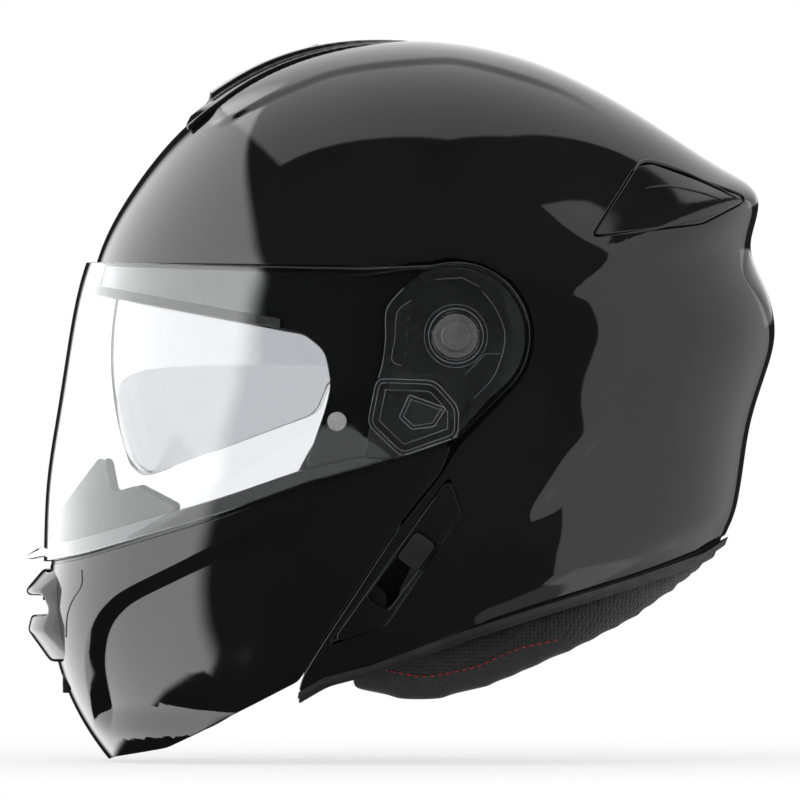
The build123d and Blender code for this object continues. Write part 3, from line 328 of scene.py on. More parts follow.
def grown(outline, amount):
    """A closed outline moved outwards by an amount in metres (inwards where negative), still in shares."""
    before, after = np.roll(outline, 1, axis=0), np.roll(outline, -1, axis=0)
    along = unit(after - before, TINY)
    turned = np.stack((along[:, 1], -along[:, 0]), axis=-1)
    x, y = outline.T
    clockwise = np.sum(x * np.roll(y, -1) - np.roll(x, -1) * y) < 0
    return outline + turned * (-amount if clockwise else amount) / REACH


def all_grown(amount, *outlines):
    return [grown(outline, amount) for outline in outlines]


def smooth_line(points, steps=10):
    """A smooth open line through given places."""
    points = np.array(points, dtype=float)
    padded = np.concatenate((2 * points[:1] - points[1:2], points, 2 * points[-1:] - points[-2:-1]))
    t = np.linspace(0, 1, steps, endpoint=False)[:, None]
    curves = [
        0.5 * (2 * b + (c - a) * t + (2 * a - 5 * b + 4 * c - d) * t ** 2 + (3 * b - a - 3 * c + d) * t ** 3)
        for a, b, c, d in zip(padded, padded[1:], padded[2:], padded[3:])
    ]
    return np.concatenate((*curves, points[-1:]))


def beside(line, across, up):
    """Signed distance from an open line, positive on its left, and the share of its length passed."""
    steps = line[1:] - line[:-1]
    lengths = np.linalg.norm(steps, axis=1)
    passed = np.append(0, np.cumsum(lengths))
    offset = np.stack((across, up), axis=-1)[..., None, :] - line[:-1]
    t = np.clip((offset * steps).sum(axis=-1) / lengths ** 2, 0, 1)
    distance = np.linalg.norm(offset - t[..., None] * steps, axis=-1)
    best = distance.argmin(axis=-1)[..., None]
    cross = steps[:, 0] * offset[..., 1] - steps[:, 1] * offset[..., 0]
    side = np.sign(np.take_along_axis(cross, best, -1)[..., 0])
    share = np.take_along_axis(passed[:-1] + t * lengths, best, -1)[..., 0] / passed[-1]
    return side * np.take_along_axis(distance, best, -1)[..., 0], share


def ease(value, low, high):
    """Rises smoothly from 0 at low to 1 at high."""
    t = np.clip((value - low) / (high - low), 0, 1)
    return t * t * (3 - 2 * t)


def ramped(value, width, soft=0.14):
    """Rises from 0 at zero to 1 at the width, straight but for its eased ends."""
    t = np.clip(value / width, 0, 1)
    middle = (t - soft / 2) / (1 - soft)
    bend = 2 * soft * (1 - soft)
    return np.where(t < soft, t ** 2 / bend, np.where(t > 1 - soft, 1 - (1 - t) ** 2 / bend, middle))


def shifted(line, amount):
    """An open line moved to its left by an amount in shares."""
    along = unit(np.gradient(line, axis=0))
    return line + np.stack((-along[:, 1], along[:, 0]), axis=-1) * amount


def beside_lines(line, start, end, count):
    """Guide lines beside a line, so that a mesh can follow the relief there."""
    return [shifted(line, amount) for amount in np.linspace(start, end, count)]


# Silhouettes round the ear pivot: angle from the rear, radius as a share of the reach
shell_silhouette = Silhouette((
    (0, 1.09), (10, 1.067), (18, 1.062), (25, 1.138), (31, 1.092), (38, 1.034), (50, 0.986),
    (65, 0.966), (80, 0.975), (95, 1.005), (110, 1.05), (125, 1.11), (140, 1.162), (155, 1.206),
    (167, 1.246), (180, 1.266), (190, 1.317), (200, 1.429), (207, 1.54), (214, 1.668), (222, 1.785),
    (230, 1.858), (240, 1.905), (255, 1.912), (270, 1.9), (282, 1.81), (294, 1.58), (306, 1.35),
    (316, 1.21), (326, 1.142), (336, 1.082), (346, 1.052), (353, 1.066),
))
visor_silhouette = Silhouette((
    (0, 1.11), (30, 1.08), (60, 0.995), (90, 1.02), (115, 1.1), (135, 1.17), (150, 1.215),
    (162, 1.262), (172, 1.293), (182, 1.325), (191, 1.384), (200, 1.483), (208, 1.589), (216, 1.718),
    (225, 1.815), (238, 1.9), (255, 1.925), (272, 1.91), (290, 1.66), (305, 1.38), (320, 1.2),
    (340, 1.09),
))
SHELL_SIDE = 126.5 * MM
SHELL_WALL = 4.0 * MM
SHELL_SKIN = 0.6 * SHELL_WALL
RECESS_DEPTH = 3.5 * MM
RECESS_DROP = 7.9 * MM
VISOR_SIDE = 129.0 * MM
VISOR_WALL = 2.4 * MM
VISOR_INSET = 2.8 * MM
FLANGE_INSET = 0.2 * MM
FLANGE_WALL = 3.0 * MM
PLATE_INSET = 6.6 * MM
ARM_THICK = 3.3 * MM
SUN_RADIUS = 135.5 * MM
SUN_SIDE = 108.5 * MM
SUN_THICK = 2.0 * MM
VENT_THICK = 2.2 * MM
LIP_INSET = 2.6 * MM
LIP_HALF = 4.0 * MM
LIP_THICK = 1.4 * MM
RIB_SIDE = 126.15 * MM

# Relief of the shell: the crease that runs over the crown, the blade behind the ear and the rolled lower rim
CROWN_CREASE = smooth_line((
    (-0.853, 0.706), (-0.788, 0.717), (-0.7, 0.765), (-0.58, 0.822), (-0.386, 0.892), (-0.123, 0.925),
    (0.051, 0.918), (0.358, 0.826), (0.563, 0.706),
))
CREASE_HEIGHT = 1.1 * MM
CREASE_REACH = 0.016
BLADE_EDGE = smooth_line((
    (0.42, -0.09), (0.48, -0.215), (0.45, -0.3), (0.368, -0.4), (0.285, -0.5), (0.2, -0.605),
    (0.13, -0.7),
))
BLADE_WIDTH = 0.11
BLADE_DEPTH = 2.4 * MM
RIM_ROLL = smooth_line((
    (-0.28, -1.02), (-0.05, -0.945), (0.116, -0.885), (0.297, -0.818), (0.423, -0.765), (0.64, -0.69),
    (0.86, -0.6), (1.0, -0.52),
))
RIM_WIDTH = 0.11
RIM_DEPTH = 2.0 * MM
# Relief of the chin bar: the field that steps in beside the dark band
CHIN_STEP = smooth_line((
    (-0.15, -0.47), (-0.4, -0.53), (-0.56, -0.592), (-0.741, -0.668), (-0.979, -0.781),
    (-1.123, -0.853), (-1.188, -0.904), (-1.23, -0.962), (-1.253, -1.034), (-1.26, -1.126),
    (-1.244, -1.249), (-1.23, -1.33),
))
CHIN_STEP_WIDTH = 0.056
CHIN_STEP_DEPTH = 4.0 * MM


def shell_relief(across, up):
    distance, passed = beside(CROWN_CREASE, across, up)
    fade = ease(passed, 0.0, 0.06) * (1 - ease(passed, 0.72, 1.0))
    height = CREASE_HEIGHT * ease(distance, -0.008, 0.012) * fade * (1 - ease(distance, 0.05, 0.3))
    distance = beside(BLADE_EDGE, across, up)[0]
    fade = ease(-up, 0.12, 0.38) * (1 - ease(-up, 0.54, 0.7))
    height -= BLADE_DEPTH * ramped(distance, BLADE_WIDTH, 0.5) * fade * (1 - ease(distance, 0.1, 0.75))
    distance, passed = beside(RIM_ROLL, across, up)
    fade = ease(passed, 0.18, 0.3) * (1 - ease(passed, 0.85, 1.0))
    return height - RIM_DEPTH * ramped(-distance, RIM_WIDTH, 0.4) * fade


def chin_relief(across, up):
    distance = beside(CHIN_STEP, across, up)[0]
    fade = ease(-across, 0.4, 0.78) * (1 - ease(-up, 1.27, 1.36))
    deep = CHIN_STEP_DEPTH * ramped(distance, CHIN_STEP_WIDTH) * fade
    return -deep * (1 - ease(distance, 0.25, 0.85))


def flange_silhouette(angle):
    """The flange stays inside both the visor and the shell."""
    return np.minimum(visor_silhouette(angle) - VISOR_INSET, shell_silhouette(angle) - FLANGE_INSET)


shell_surface = Surface(shell_silhouette, SHELL_SIDE, relief=shell_relief)
plain_shell = Surface(shell_silhouette, SHELL_SIDE)
chin_surface = Surface(shell_silhouette, SHELL_SIDE, relief=chin_relief)
recess_surface = Surface(shell_silhouette, SHELL_SIDE, RECESS_DEPTH, RECESS_DROP)
lip_surface = Surface(shell_silhouette, SHELL_SIDE, LIP_INSET)
visor_surface = Surface(visor_silhouette, VISOR_SIDE)
flange_surface = Surface(flange_silhouette, VISOR_SIDE - VISOR_INSET)
arm_surface = Surface(visor_silhouette, VISOR_SIDE, PLATE_INSET)
sun_silhouette = Silhouette([(angle, 1.0) for angle in range(0, 360, 30)], SUN_RADIUS)
sun_surface = Surface(sun_silhouette, SUN_SIDE, centre=SUN_PIVOT)

# Side outlines, as shares of the reach from the ear pivot
recess = rounded((
    (-1.655, 0.256), (-0.307, 0.235), (-0.078, 0.25), (0.02, 0.25), (0.171, -0.201),
    (0.024, -0.352), (-0.041, -0.454), (-0.215, -0.681), (-1.655, -0.681),
))
recess_tail = ring(33.0 * MM, count=96)
opening = rounded((
    (-1.655, 0.167), (-1.266, 0.148), (-0.515, 0.009), (-0.44, -0.051), (-0.42, -0.164),
    (-0.44, -0.249), (-0.508, -0.444), (-0.41, -0.577), (-0.174, -0.618), (-0.454, -1.044),
    (-0.522, -1.157), (-0.7, -2.2), (-1.9, -2.2),
), 0.035)
below = rounded((
    (-0.8, -1.36), (-0.444, -1.15), (-0.287, -1.109), (0.034, -0.99), (0.307, -0.904),
    (0.601, -0.816), (0.846, -0.734), (0.935, -0.68), (1.382, -0.488), (1.382, -1.95), (-0.8, -1.95),
), 0.035)
chin = rounded((
    (-1.9, -0.89), (-1.396, -0.778), (-1.266, -0.751), (-0.795, -0.611), (-0.508, -0.508),
    (-0.188, -0.416), (-0.014, -0.366), (-0.048, -0.454), (-0.181, -0.622), (-0.462, -1.048),
    (-0.53, -1.166), (-0.741, -1.28), (-0.979, -1.396), (-1.171, -1.433), (-1.33, -1.56),
    (-1.9, -1.56),
))
flange = rounded((
    (-1.9, -0.83), (-1.396, -0.715), (-1.266, -0.685), (-0.795, -0.545), (-0.508, -0.45),
    (-0.33, -0.41), (-0.188, -0.416), (-0.014, -0.366), (-0.044, -0.44), (-0.188, -0.482),
    (-0.508, -0.573), (-0.795, -0.676), (-1.266, -0.816), (-1.396, -0.85), (-1.9, -0.96),
))
arm = rounded((
    (-0.1, 0.1), (-0.22, -0.08), (-0.262, -0.214), (-0.286, -0.292), (-0.303, -0.378),
    (-0.305, -0.44), (-0.188, -0.478), (-0.05, -0.425), (0.02, -0.2), (0.1, 0.0),
))
arm_disc = ring(29.6 * MM, count=80)
bush_hole = ring(8.06 * MM)
visor = rounded((
    (-1.7, 0.276), (-1.27, 0.256), (-0.768, 0.239), (-0.307, 0.228), (-0.078, 0.238),
    (0.02, 0.236), (0.164, -0.188), (0.01, -0.338), (-0.188, -0.403), (-0.508, -0.495),
    (-0.795, -0.597), (-1.266, -0.737), (-1.396, -0.764), (-1.7, -0.835),
))
visor_tail = ring(31.4 * MM, count=96)
boss_hole = ring(10.06 * MM)
fog_hole = ring(2.0 * MM, (-0.399, -0.287), 24)
PLATE_SHARES = (
    (0.058, 0.225), (-0.085, 0.231), (-0.177, 0.16), (-0.232, 0.089), (-0.236, -0.01),
    (-0.246, -0.089), (-0.259, -0.14), (-0.29, -0.303), (-0.177, -0.398), (0.0, -0.336),
    (0.15, -0.165), (0.2, -0.01), (0.16, 0.148),
)
plate = rounded(PLATE_SHARES)
panel = rounded(((-0.022, -0.475), (0.017, -0.59), (-0.242, -0.976), (-0.425, -1.04)))
rear_vent = rounded((
    (0.461, 0.338), (0.614, 0.577), (0.665, 0.587), (0.973, 0.478), (0.979, 0.457), (0.836, 0.382),
))
sun = rounded((
    (-1.348, 0.256), (-0.529, 0.085), (-0.375, 0.041), (-0.099, 0.032), (-0.004, -0.03),
    (-0.004, -0.098), (-0.099, -0.16), (-0.427, -0.147), (-0.474, -0.263), (-1.061, -0.481),
    (-1.15, -0.4), (-1.348, -0.352),
), 0.035)
sun_hole = ring(3.06 * MM, (-0.099, -0.064), 32)


def recess_wall(name, outline, *cut):
    """The strip from the shell's outside down to its recess along an outline, on both sides."""
    across, up = densified(outline, True, LINE_SPACING / REACH).T
    u, v, reach = plain_shell.disc(across * REACH, up * REACH)
    low_u, low_v, low_reach = recess_surface.disc(across * REACH, up * REACH)
    kept = ~inside_any(cut, across, up) & (reach < 1) & (low_reach < 1)
    top, low = plain_shell.base(u, v), recess_surface.base(low_u, low_v)
    count = len(kept)
    points, polygons = [], []
    for side in (1, -1):
        start = len(points)
        flip = np.array((1, side, 1))
        points += list(top * flip) + list(low * flip)
        for i in range(count):
            j = (i + 1) % count
            if kept[i] and kept[j]:
                face = (start + i, start + j, start + count + j, start + count + i)
                polygons.append(face if side > 0 else face[::-1])
    place_piece(build(name, points, polygons), "shell", *GLOSS_LOOK)


# Materials, each with its own grain, mottling and roughness


def put(tree, socket, value):
    if isinstance(value, bpy.types.NodeSocket):
        tree.links.new(value, socket)
    else:
        socket.default_value = value


def add_node(tree, kind, *inputs, **values):
    """A node whose sockets, in order or by name, are linked or set, and whose settings go by name."""
    node = tree.nodes.new("ShaderNode" + kind)
    for key, value in (*values.items(), *enumerate(inputs)):
        if isinstance(key, str) and key not in node.inputs:
            setattr(node, key, value)
        else:
            put(tree, node.inputs[key], value)
    return node


def maths(tree, operation, *inputs):
    return add_node(tree, "Math", *inputs, operation=operation).outputs[0]


def colour_of(shade):
    """A colour as it is, or the grey of one number."""
    return (*shade, 1) if isinstance(shade, tuple) else (shade, shade, shade, 1)


class Finish:
    """One procedural material, built up node by node. Sources are sockets, or the numbers of a noise."""

    def __init__(self, name, shade, roughness, metallic=0.0, edge=0.0):
        self.material = bpy.data.materials.new(name)
        self.material.use_nodes = True
        self.tree = self.material.node_tree
        self.shader = self.tree.nodes["Principled BSDF"]
        self.set(Base_Color=colour_of(shade), Roughness=roughness, Metallic=metallic)
        self.place = self.node("TexCoord").outputs["Object"]
        self.bump_from = None
        if edge:
            self.bump_from = self.node("Bevel", samples=6, Radius=edge).outputs["Normal"]
            self.set(Normal=self.bump_from)

    def node(self, kind, *inputs, **values):
        return add_node(self.tree, kind, *inputs, **values)

    def set(self, **values):
        for key, value in values.items():
            put(self.tree, self.shader.inputs[key.replace("_", " ")], value)
        return self

    def source(self, given):
        if not isinstance(given, tuple):
            return given
        values = dict(zip(("Scale", "Detail", "Roughness"), given + (4.0, 0.55)[len(given) - 1:]))
        return self.node("TexNoise", Vector=self.place, **values).outputs["Fac"]

    def cells(self, scale, feature="F1", randomness=1.0):
        return self.node("TexVoronoi", feature=feature, Vector=self.place, Scale=scale,
                         Randomness=randomness).outputs["Distance"]

    def ramp(self, source, low, high, start, end):
        return self.node("MapRange", source, start, end, low, high).outputs["Result"]

    def tint(self, source, low, high, start=0.35, end=0.65):
        """Colour that wanders between two shades."""
        node = self.node("ValToRGB", self.source(source))
        for element, position, shade in zip(node.color_ramp.elements, (start, end), (low, high)):
            element.position = position
            element.color = colour_of(shade)
        return self.set(Base_Color=node.outputs["Color"])

    def rough(self, source, low, high):
        return self.set(Roughness=self.ramp(self.source(source), low, high, 0.3, 0.7))

    def bump(self, source, strength, distance):
        node = self.node("Bump", Strength=strength, Distance=distance, Height=self.source(source))
        if self.bump_from is not None:
            put(self.tree, node.inputs["Normal"], self.bump_from)
        self.bump_from = node.outputs["Normal"]
        return self.set(Normal=self.bump_from)


def lacquer(name, edge=0.0):
    """Black lacquer: deep gloss, a faint unevenness and fine wiping marks."""
    made = Finish(name, (0.008, 0.008, 0.009), 0.04, edge=edge)
    made.tint((9.0,), (0.007, 0.007, 0.0075), (0.0095, 0.0095, 0.01))
    return made.rough((55.0, 6.0), 0.025, 0.055).bump((160.0, 2.0), 0.02, 0.0004).set(IOR=1.5).material


def moulded(name, shade, low_rough, high_rough, depth=0.00006, edge=0.4 * MM):
    """Moulded plastic with a fine spark-eroded grain and rounded edges."""
    made = Finish(name, shade, low_rough, edge=edge)
    made.tint((35.0,), shade * 0.8, (shade * 1.25, shade * 1.25, shade * 1.3))
    return made.rough((90.0,), low_rough, high_rough).bump((2400.0, 3.0), 0.35, depth).material


def metal(name, shade, rough, metallic=1.0):
    made = Finish(name, (shade, shade, shade * 1.01), rough, metallic, edge=0.3 * MM)
    made.tint((120.0,), shade * 0.85, shade * 1.1).rough((700.0,), rough * 0.7, rough * 1.4)
    return made.bump((2600.0, 2.0), 0.15, 0.00004).material


def lens(name, colour, roughness):
    """Hard-coated polycarbonate."""
    made = Finish(name, colour, roughness).rough((25.0,), roughness * 0.6, roughness * 1.5)
    return made.bump((14.0, 1.0), 0.01, 0.0004).set(IOR=1.45, Transmission_Weight=1.0).material


FINE_GRAIN = 0.000004
gloss_black = lacquer("black_lacquer")
GLOSS_LOOK = (gloss_black, "shell_gloss")
edged_black = lacquer("black_lacquer_edged", 0.7 * MM)
satin_black = moulded("satin_black_plastic", 0.013, 0.28, 0.42)
gloss_plastic = moulded("gloss_black_plastic", 0.008, 0.08, 0.14, FINE_GRAIN)
button_black = moulded("button_plastic", 0.02, 0.3, 0.45)
steel = metal("plain_steel", 0.42, 0.32)
dark_steel = metal("dark_steel", 0.12, 0.3)
burnished = metal("burnished_steel", 0.22, 0.25, 0.6)
pin_steel = metal("pin_head", 0.4, 0.3, 0.3)
plate_black = moulded("base_plate_plastic", 0.01, 0.14, 0.22, FINE_GRAIN, 0.8 * MM)
# Ribs on the black base plates: light grey as a painted highlight of the plates' edges
rib_highlight_grey = moulded("rib_painted_highlight", 0.26, 0.2, 0.35, FINE_GRAIN, 0)
clear_lens = lens("clear_polycarbonate", (0.97, 0.98, 0.985), 0.008)
tinted_lens = lens("tinted_polycarbonate", (0.8, 0.81, 0.825), 0.01)

rubber = Finish("soft_rubber", 0.018, 0.62).tint((60.0,), 0.014, 0.026)
black_rubber = rubber.rough((140.0,), 0.5, 0.72).bump((1800.0,), 0.4, 0.00008).material

# Expanded foam: its cells are dimpled, and painted shade darkens the dimples
foam = Finish("expanded_foam", 0.02, 0.75)
foam.tint(foam.cells(230.0), 0.016, 0.034, 0.1, 0.7)
black_foam = foam.rough((200.0,), 0.6, 0.85).bump(foam.cells(230.0), 0.5, 0.0006).material

# Air mesh: small open cells between raised yarn, with painted shade darkening the sunken cells
MESH_PITCH = 0.0017
air_mesh = Finish("air_mesh", 0.003, 0.85)
yarn = air_mesh.cells(1 / MESH_PITCH, "DISTANCE_TO_EDGE", 0.25)
air_mesh.tint(yarn, (0.01, 0.01, 0.011), 0.003, 0.08, 0.3).rough((300.0,), 0.75, 0.95)
air_mesh.bump(air_mesh.ramp(yarn, 1.0, 0.0, 0.0, 0.35), 0.8, 0.0005).bump((3500.0,), 0.4, 0.0001)
mesh_cloth = air_mesh.set(Sheen_Weight=0.25, Sheen_Roughness=0.5).material

# Short-pile lining cloth
pile = Finish("lining_cloth", (0.012, 0.012, 0.013), 0.9)
pile.tint((900.0, 6.0, 0.7), (0.012, 0.012, 0.013), (0.032, 0.032, 0.035))
pile.rough((120.0,), 0.82, 0.97).bump((2600.0, 4.0, 0.7), 0.6, 0.00025)
pile_cloth = pile.set(Sheen_Weight=0.35, Sheen_Roughness=0.4).material

# Nylon webbing: two crossed sets of ribs, with painted shade darkening the grooves between them
WEB_PITCH = 0.0014
weave = Finish("woven_webbing", 0.02, 0.6)
waves = [
    weave.node("TexWave", bands_direction=direction, Vector=weave.place,
               Scale=1 / WEB_PITCH / 6.28, Distortion=0.4).outputs["Fac"]
    for direction in ("X", "DIAGONAL")
]
ribbed = maths(weave.tree, "MULTIPLY", *waves)
# The same rib pattern darkens the grooves: painted shade
weave.tint(ribbed, 0.012, 0.04, 0.0, 0.8).rough((200.0,), 0.5, 0.75).bump(ribbed, 0.8, 0.0003)
webbing = weave.set(Sheen_Weight=0.2).material

thread = Finish("red_thread", (0.35, 0.01, 0.012), 0.6)
thread.tint((900.0,), (0.26, 0.006, 0.008), (0.46, 0.015, 0.018))
red_thread = thread.rough((700.0,), 0.5, 0.75).bump((4000.0,), 0.5, 0.0001).material

# Shell, chin bar and lenses
skin("shell_outer", shell_surface, [],
     all_grown(ROUND, recess, recess_tail, opening, below) + all_grown(2 * ROUND, panel, rear_vent),
     SHELL_SKIN, "shell", *GLOSS_LOOK, "outer_shell", spacing=1.4,
     guides=beside_lines(CROWN_CREASE, -CREASE_REACH, CREASE_REACH, 7)
     + beside_lines(BLADE_EDGE, 0, BLADE_WIDTH, 9) + beside_lines(RIM_ROLL, 0, -RIM_WIDTH, 9))
skin("shell_recess", recess_surface, all_grown(3 * MM, recess, recess_tail), all_grown(ROUND, opening, below),
     SHELL_WALL, "shell", *GLOSS_LOOK, spacing=2.4)
recess_wall("shell_recess_wall", recess, recess_tail, opening, below)
recess_wall("shell_tail_wall", recess_tail, recess, opening, below)
skin("chin_bar_skin", chin_surface, all_grown(-ROUND, chin), [], SHELL_WALL, "chin_bar", *GLOSS_LOOK,
     "chin_bar", spacing=1.2, guides=beside_lines(CHIN_STEP, 0, CHIN_STEP_WIDTH, 9))
skin("chin_bar_flange", flange_surface, all_grown(-ROUND, flange),
     [grown(plate, 0.8 * MM), grown(chin, -1.5 * MM)],
     FLANGE_WALL, "chin_bar", gloss_plastic, "shell_gloss", spacing=2.4)
skin("chin_bar_arms", arm_surface, all_grown(-ROUND, arm, arm_disc), all_grown(ROUND, bush_hole),
     ARM_THICK, "chin_bar", satin_black, "shell_gloss", spacing=2.4)
skin("visor_lens", visor_surface, all_grown(-ROUND, visor, visor_tail), all_grown(ROUND, boss_hole, fog_hole),
     VISOR_WALL, "visor", clear_lens, "clear_lens", "visor")
skin("sun_lens", sun_surface, all_grown(-ROUND, sun), all_grown(ROUND, sun_hole),
     SUN_THICK, "sun_visor", tinted_lens, "tinted_lens", "sun_visor", spacing=2.4)
# Lip of the rubber edging, behind the shell's lower edge
skin("rim_lip", lip_surface, [grown(below, LIP_HALF)], [grown(below, -LIP_HALF), grown(opening, MM)],
     LIP_THICK, "shell", black_rubber, "soft_rubber", spacing=2.4)
skin("rear_vents", plain_shell, all_grown(-ROUND, rear_vent), [],
     VENT_THICK, "shell", gloss_plastic, "shell_gloss", "rear_vent_left", "rear_vent_right")

# Finishes of the CAD nodes that stay as they are
for material, names in {
    edged_black: ("side_panel_left", "side_panel_right"),
    plate_black: ("visor_base_left", "visor_base_right"),
    satin_black: ("strikers",),
    button_black: ("sun_slider", "chin_vent_shutter", "latch_left", "latch_right"),
    black_rubber: ("edge_trim", "eye_port_seal", "breath_guard"),
    steel: ("pivot_bushes", "strap_rivets", "buckle_tongue", "buckle_lever"),
    dark_steel: ("sun_visor_pins", "buckle_body"),
    burnished: ("pivot_screws",),
    pin_steel: ("antifog_pins",),
    black_foam: ("foam_front_left", "foam_front_right", "foam_rear_left", "foam_rear_right",
                 "chin_bar_liner"),
}.items():
    for name in names:
        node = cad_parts[name]
        node.data.materials.clear()
        node.data.materials.append(material)

SIMULATED_FRAMES = 20
# Half the width of the chin vent's hood
HOOD_HALF = 36 * MM


def cushion(name, node, material, voxel, shrink, cap, rounds=3):
    """A pad of the shell, blown up from a slightly smaller copy of its solid."""
    pad = linked(name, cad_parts[node].data.copy())
    pad.data.name = name
    modify(pad, "REMESH", mode="VOXEL", voxel_size=voxel)
    modify(pad, "SMOOTH", factor=0.5, iterations=rounds)
    modify(pad, "DISPLACE", strength=-shrink, mid_level=0.0)
    start = np.array([vertex.co for vertex in pad.data.vertices])
    cloth = pad.modifiers.new("cloth", "CLOTH")
    cloth.settings.use_pressure = True
    cloth.settings.uniform_pressure_force = 4
    cloth.settings.effector_weights.gravity = 0
    cloth.settings.tension_stiffness = 25
    cloth.settings.bending_stiffness = 2
    for number in range(1, SIMULATED_FRAMES + 1):
        scene.frame_set(number)
    swollen = pad.evaluated_get(bpy.context.evaluated_depsgraph_get()).data
    moved = np.array([vertex.co for vertex in swollen.vertices]) - start
    pad.modifiers.remove(cloth)
    scene.frame_set(1)
    length = np.linalg.norm(moved, axis=1, keepdims=True)
    moved *= np.minimum(1, cap / np.maximum(length, 1e-9))
    pad.data.vertices.foreach_set("co", (start + moved).ravel())
    modify(pad, "SMOOTH", factor=0.5, iterations=2)
    modify(pad, "SUBSURF", levels=1, render_levels=1)
    pad.data.shade_smooth()
    place_piece(pad, "shell", material, "lining", node)
    return pad


def modify(piece, kind, **values):
    """Add one modifier and keep its result as the piece's mesh."""
    modifier = piece.modifiers.new(kind.lower(), kind)
    for key, value in values.items():
        setattr(modifier, key, value)
    graph = bpy.context.evaluated_depsgraph_get()
    result = bpy.data.meshes.new_from_object(
        piece.evaluated_get(graph), preserve_all_data_layers=True, depsgraph=graph
    )
    piece.modifiers.remove(modifier)
    old = piece.data
    piece.data = result
    result.name = old.name
    bpy.data.meshes.remove(old)


def softened(name, node, body, material, slot, voxel, rounds, sink=0.0, bend=0.0):
    """A moulded form with its corners rounded off, bent round the chin or sunk a little into the shell."""
    form = linked(name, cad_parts[node].data.copy())
    if sink:
        centre = sum((vertex.co for vertex in form.data.vertices), Vector()) / len(form.data.vertices)
        form.data.transform(Matrix.Translation((Vector(PIVOT) - centre).normalized() * sink))
    modify(form, "REMESH", mode="VOXEL", voxel_size=voxel)
    for vertex in form.data.vertices:
        vertex.co.x += bend * (vertex.co.y / HOOD_HALF) ** 2
    modify(form, "SMOOTH", factor=0.5, iterations=rounds)
    form.data.shade_smooth()
    place_piece(form, body, material, slot, node)


# Vents and the release button
softened("chin_vent_hood", "chin_vent_housing", "chin_bar", *GLOSS_LOOK, 0.9 * MM, 10, bend=14 * MM)
softened("top_vent_fins", "top_vent_base", "shell", *GLOSS_LOOK, 0.8 * MM, 3)
softened("top_vent_knob", "top_vent_slider", "top_vent_slider", button_black, "dark_plastic", 0.5 * MM, 5,
         sink=2.5 * MM)
softened("release_key", "release_button", "release_button", button_black, "button_plastic", 0.5 * MM, 5,
         sink=3.0 * MM)

# Soft parts: each pad swells in a short cloth simulation
cushion("lining_crown", "crown_liner", pile_cloth, 5 * MM, 1.2 * MM, 3 * MM)
neck_pad = cushion("neck_pad", "neck_roll", mesh_cloth, 5 * MM, 1.5 * MM, 4 * MM, 8)
for side in ("left", "right"):
    cushion(f"cheek_cushion_{side}", f"cheek_pad_{side}", pile_cloth, 4 * MM, 2 * MM, 5 * MM)


def bar_faces(rows, sides):
    """The faces round a bar made of rows of points, and its two ends."""
    faces = [
        (row + i, row + (i + 1) % sides, row + sides + (i + 1) % sides, row + sides + i)
        for row in range(0, (rows - 1) * sides, sides) for i in range(sides)
    ]
    return faces + [tuple(range(sides))[::-1], tuple((rows - 1) * sides + i for i in range(sides))]


def tube(points, radii, sides=8):
    """Vertices and faces of a closed round bar through points."""
    along = unit(np.gradient(points, axis=0))
    across = unit(np.cross(along, (0.0, 0.31, 0.95)))
    other = np.cross(along, across)
    turn = np.linspace(0, 2 * pi, sides, endpoint=False)
    vertices = [
        place + radius * (one * cos(t) + two * sin(t))
        for place, one, two, radius in zip(points, across, other, radii) for t in turn
    ]
    return vertices, bar_faces(len(points), sides)


def gathered(name, parts, *looks):
    """One piece from several lists of vertices and faces."""
    vertices, faces = [], []
    for part_vertices, part_faces in parts:
        faces += [tuple(len(vertices) + i for i in face) for face in part_faces]
        vertices += list(part_vertices)
    place_piece(build(name, vertices, faces), *looks)


# Where the rays towards a pad start, beside the helmet
OUTSIDE = 0.3


def stitches(line, target, side, pitch, length, radius):
    """Short threads laid on a piece along a line in the side view, sewn through at both ends."""
    mesh = target.data
    target_tree = BVHTree.FromPolygons(
        [vertex.co for vertex in mesh.vertices], [tuple(face.vertices) for face in mesh.polygons]
    )
    passed = np.append(0, np.cumsum(np.linalg.norm(np.diff(line, axis=0), axis=1)))
    marks = np.arange(0, passed[-1], pitch / REACH)
    line = np.stack([np.interp(marks, passed, line[:, axis]) for axis in (0, 1)], axis=-1)
    radii = radius * np.array((0.6, 1, 1, 1, 0.6))
    threads = []
    for share, following in zip(line[:-1], line[1:]):
        places = []
        for t in np.linspace(0, length / pitch, len(radii)):
            across, up = PIVOT[[0, 2]] + (share + (following - share) * t) * REACH
            hit = target_tree.ray_cast(Vector((across, side * OUTSIDE, up)), Vector((0, -side, 0)))[0]
            if hit is not None:
                lift = radius * (1 - 2.4 * (2 * abs(t * pitch / length - 0.5)) ** 3)
                places.append(np.array(hit) + np.array((0, side * lift, 0)))
        if len(places) == len(radii):
            threads.append(tube(places, radii))
    return threads


modify(neck_pad, "SUBSURF", levels=1, render_levels=1)
neck_pad.data.shade_smooth()
NECK_SEAM = smooth_line((
    (-0.273, -1.119), (-0.17, -1.139), (-0.096, -1.147), (0.051, -1.119), (0.13, -1.088), (0.198, -1.058),
    (0.28, -1.037), (0.362, -1.02),
))
# Below the stitched line the neck roll is plain cloth instead of air mesh
neck_pad.data.materials.append(pile_cloth)
for face in neck_pad.data.polygons:
    share = (np.array(face.center) - PIVOT) / REACH
    seam_height = np.interp(share[0], NECK_SEAM[:, 0], NECK_SEAM[:, 1])
    face.material_index = int(share[2] < seam_height)
gathered("neck_stitches", [
    stitch for side in (-1, 1)
    for stitch in stitches(NECK_SEAM, neck_pad, side, pitch=3.4 * MM, length=2.1 * MM, radius=0.28 * MM)
], "shell", red_thread, "lining")


def laid(line, surface, side, lift):
    """An open line of the side view laid on a layer, a little above it."""
    u, v, _ = surface.disc(*(line * REACH).T)
    return (surface.point(u, v) + surface.normal(u, v) * lift) * np.array((1, -side, 1))


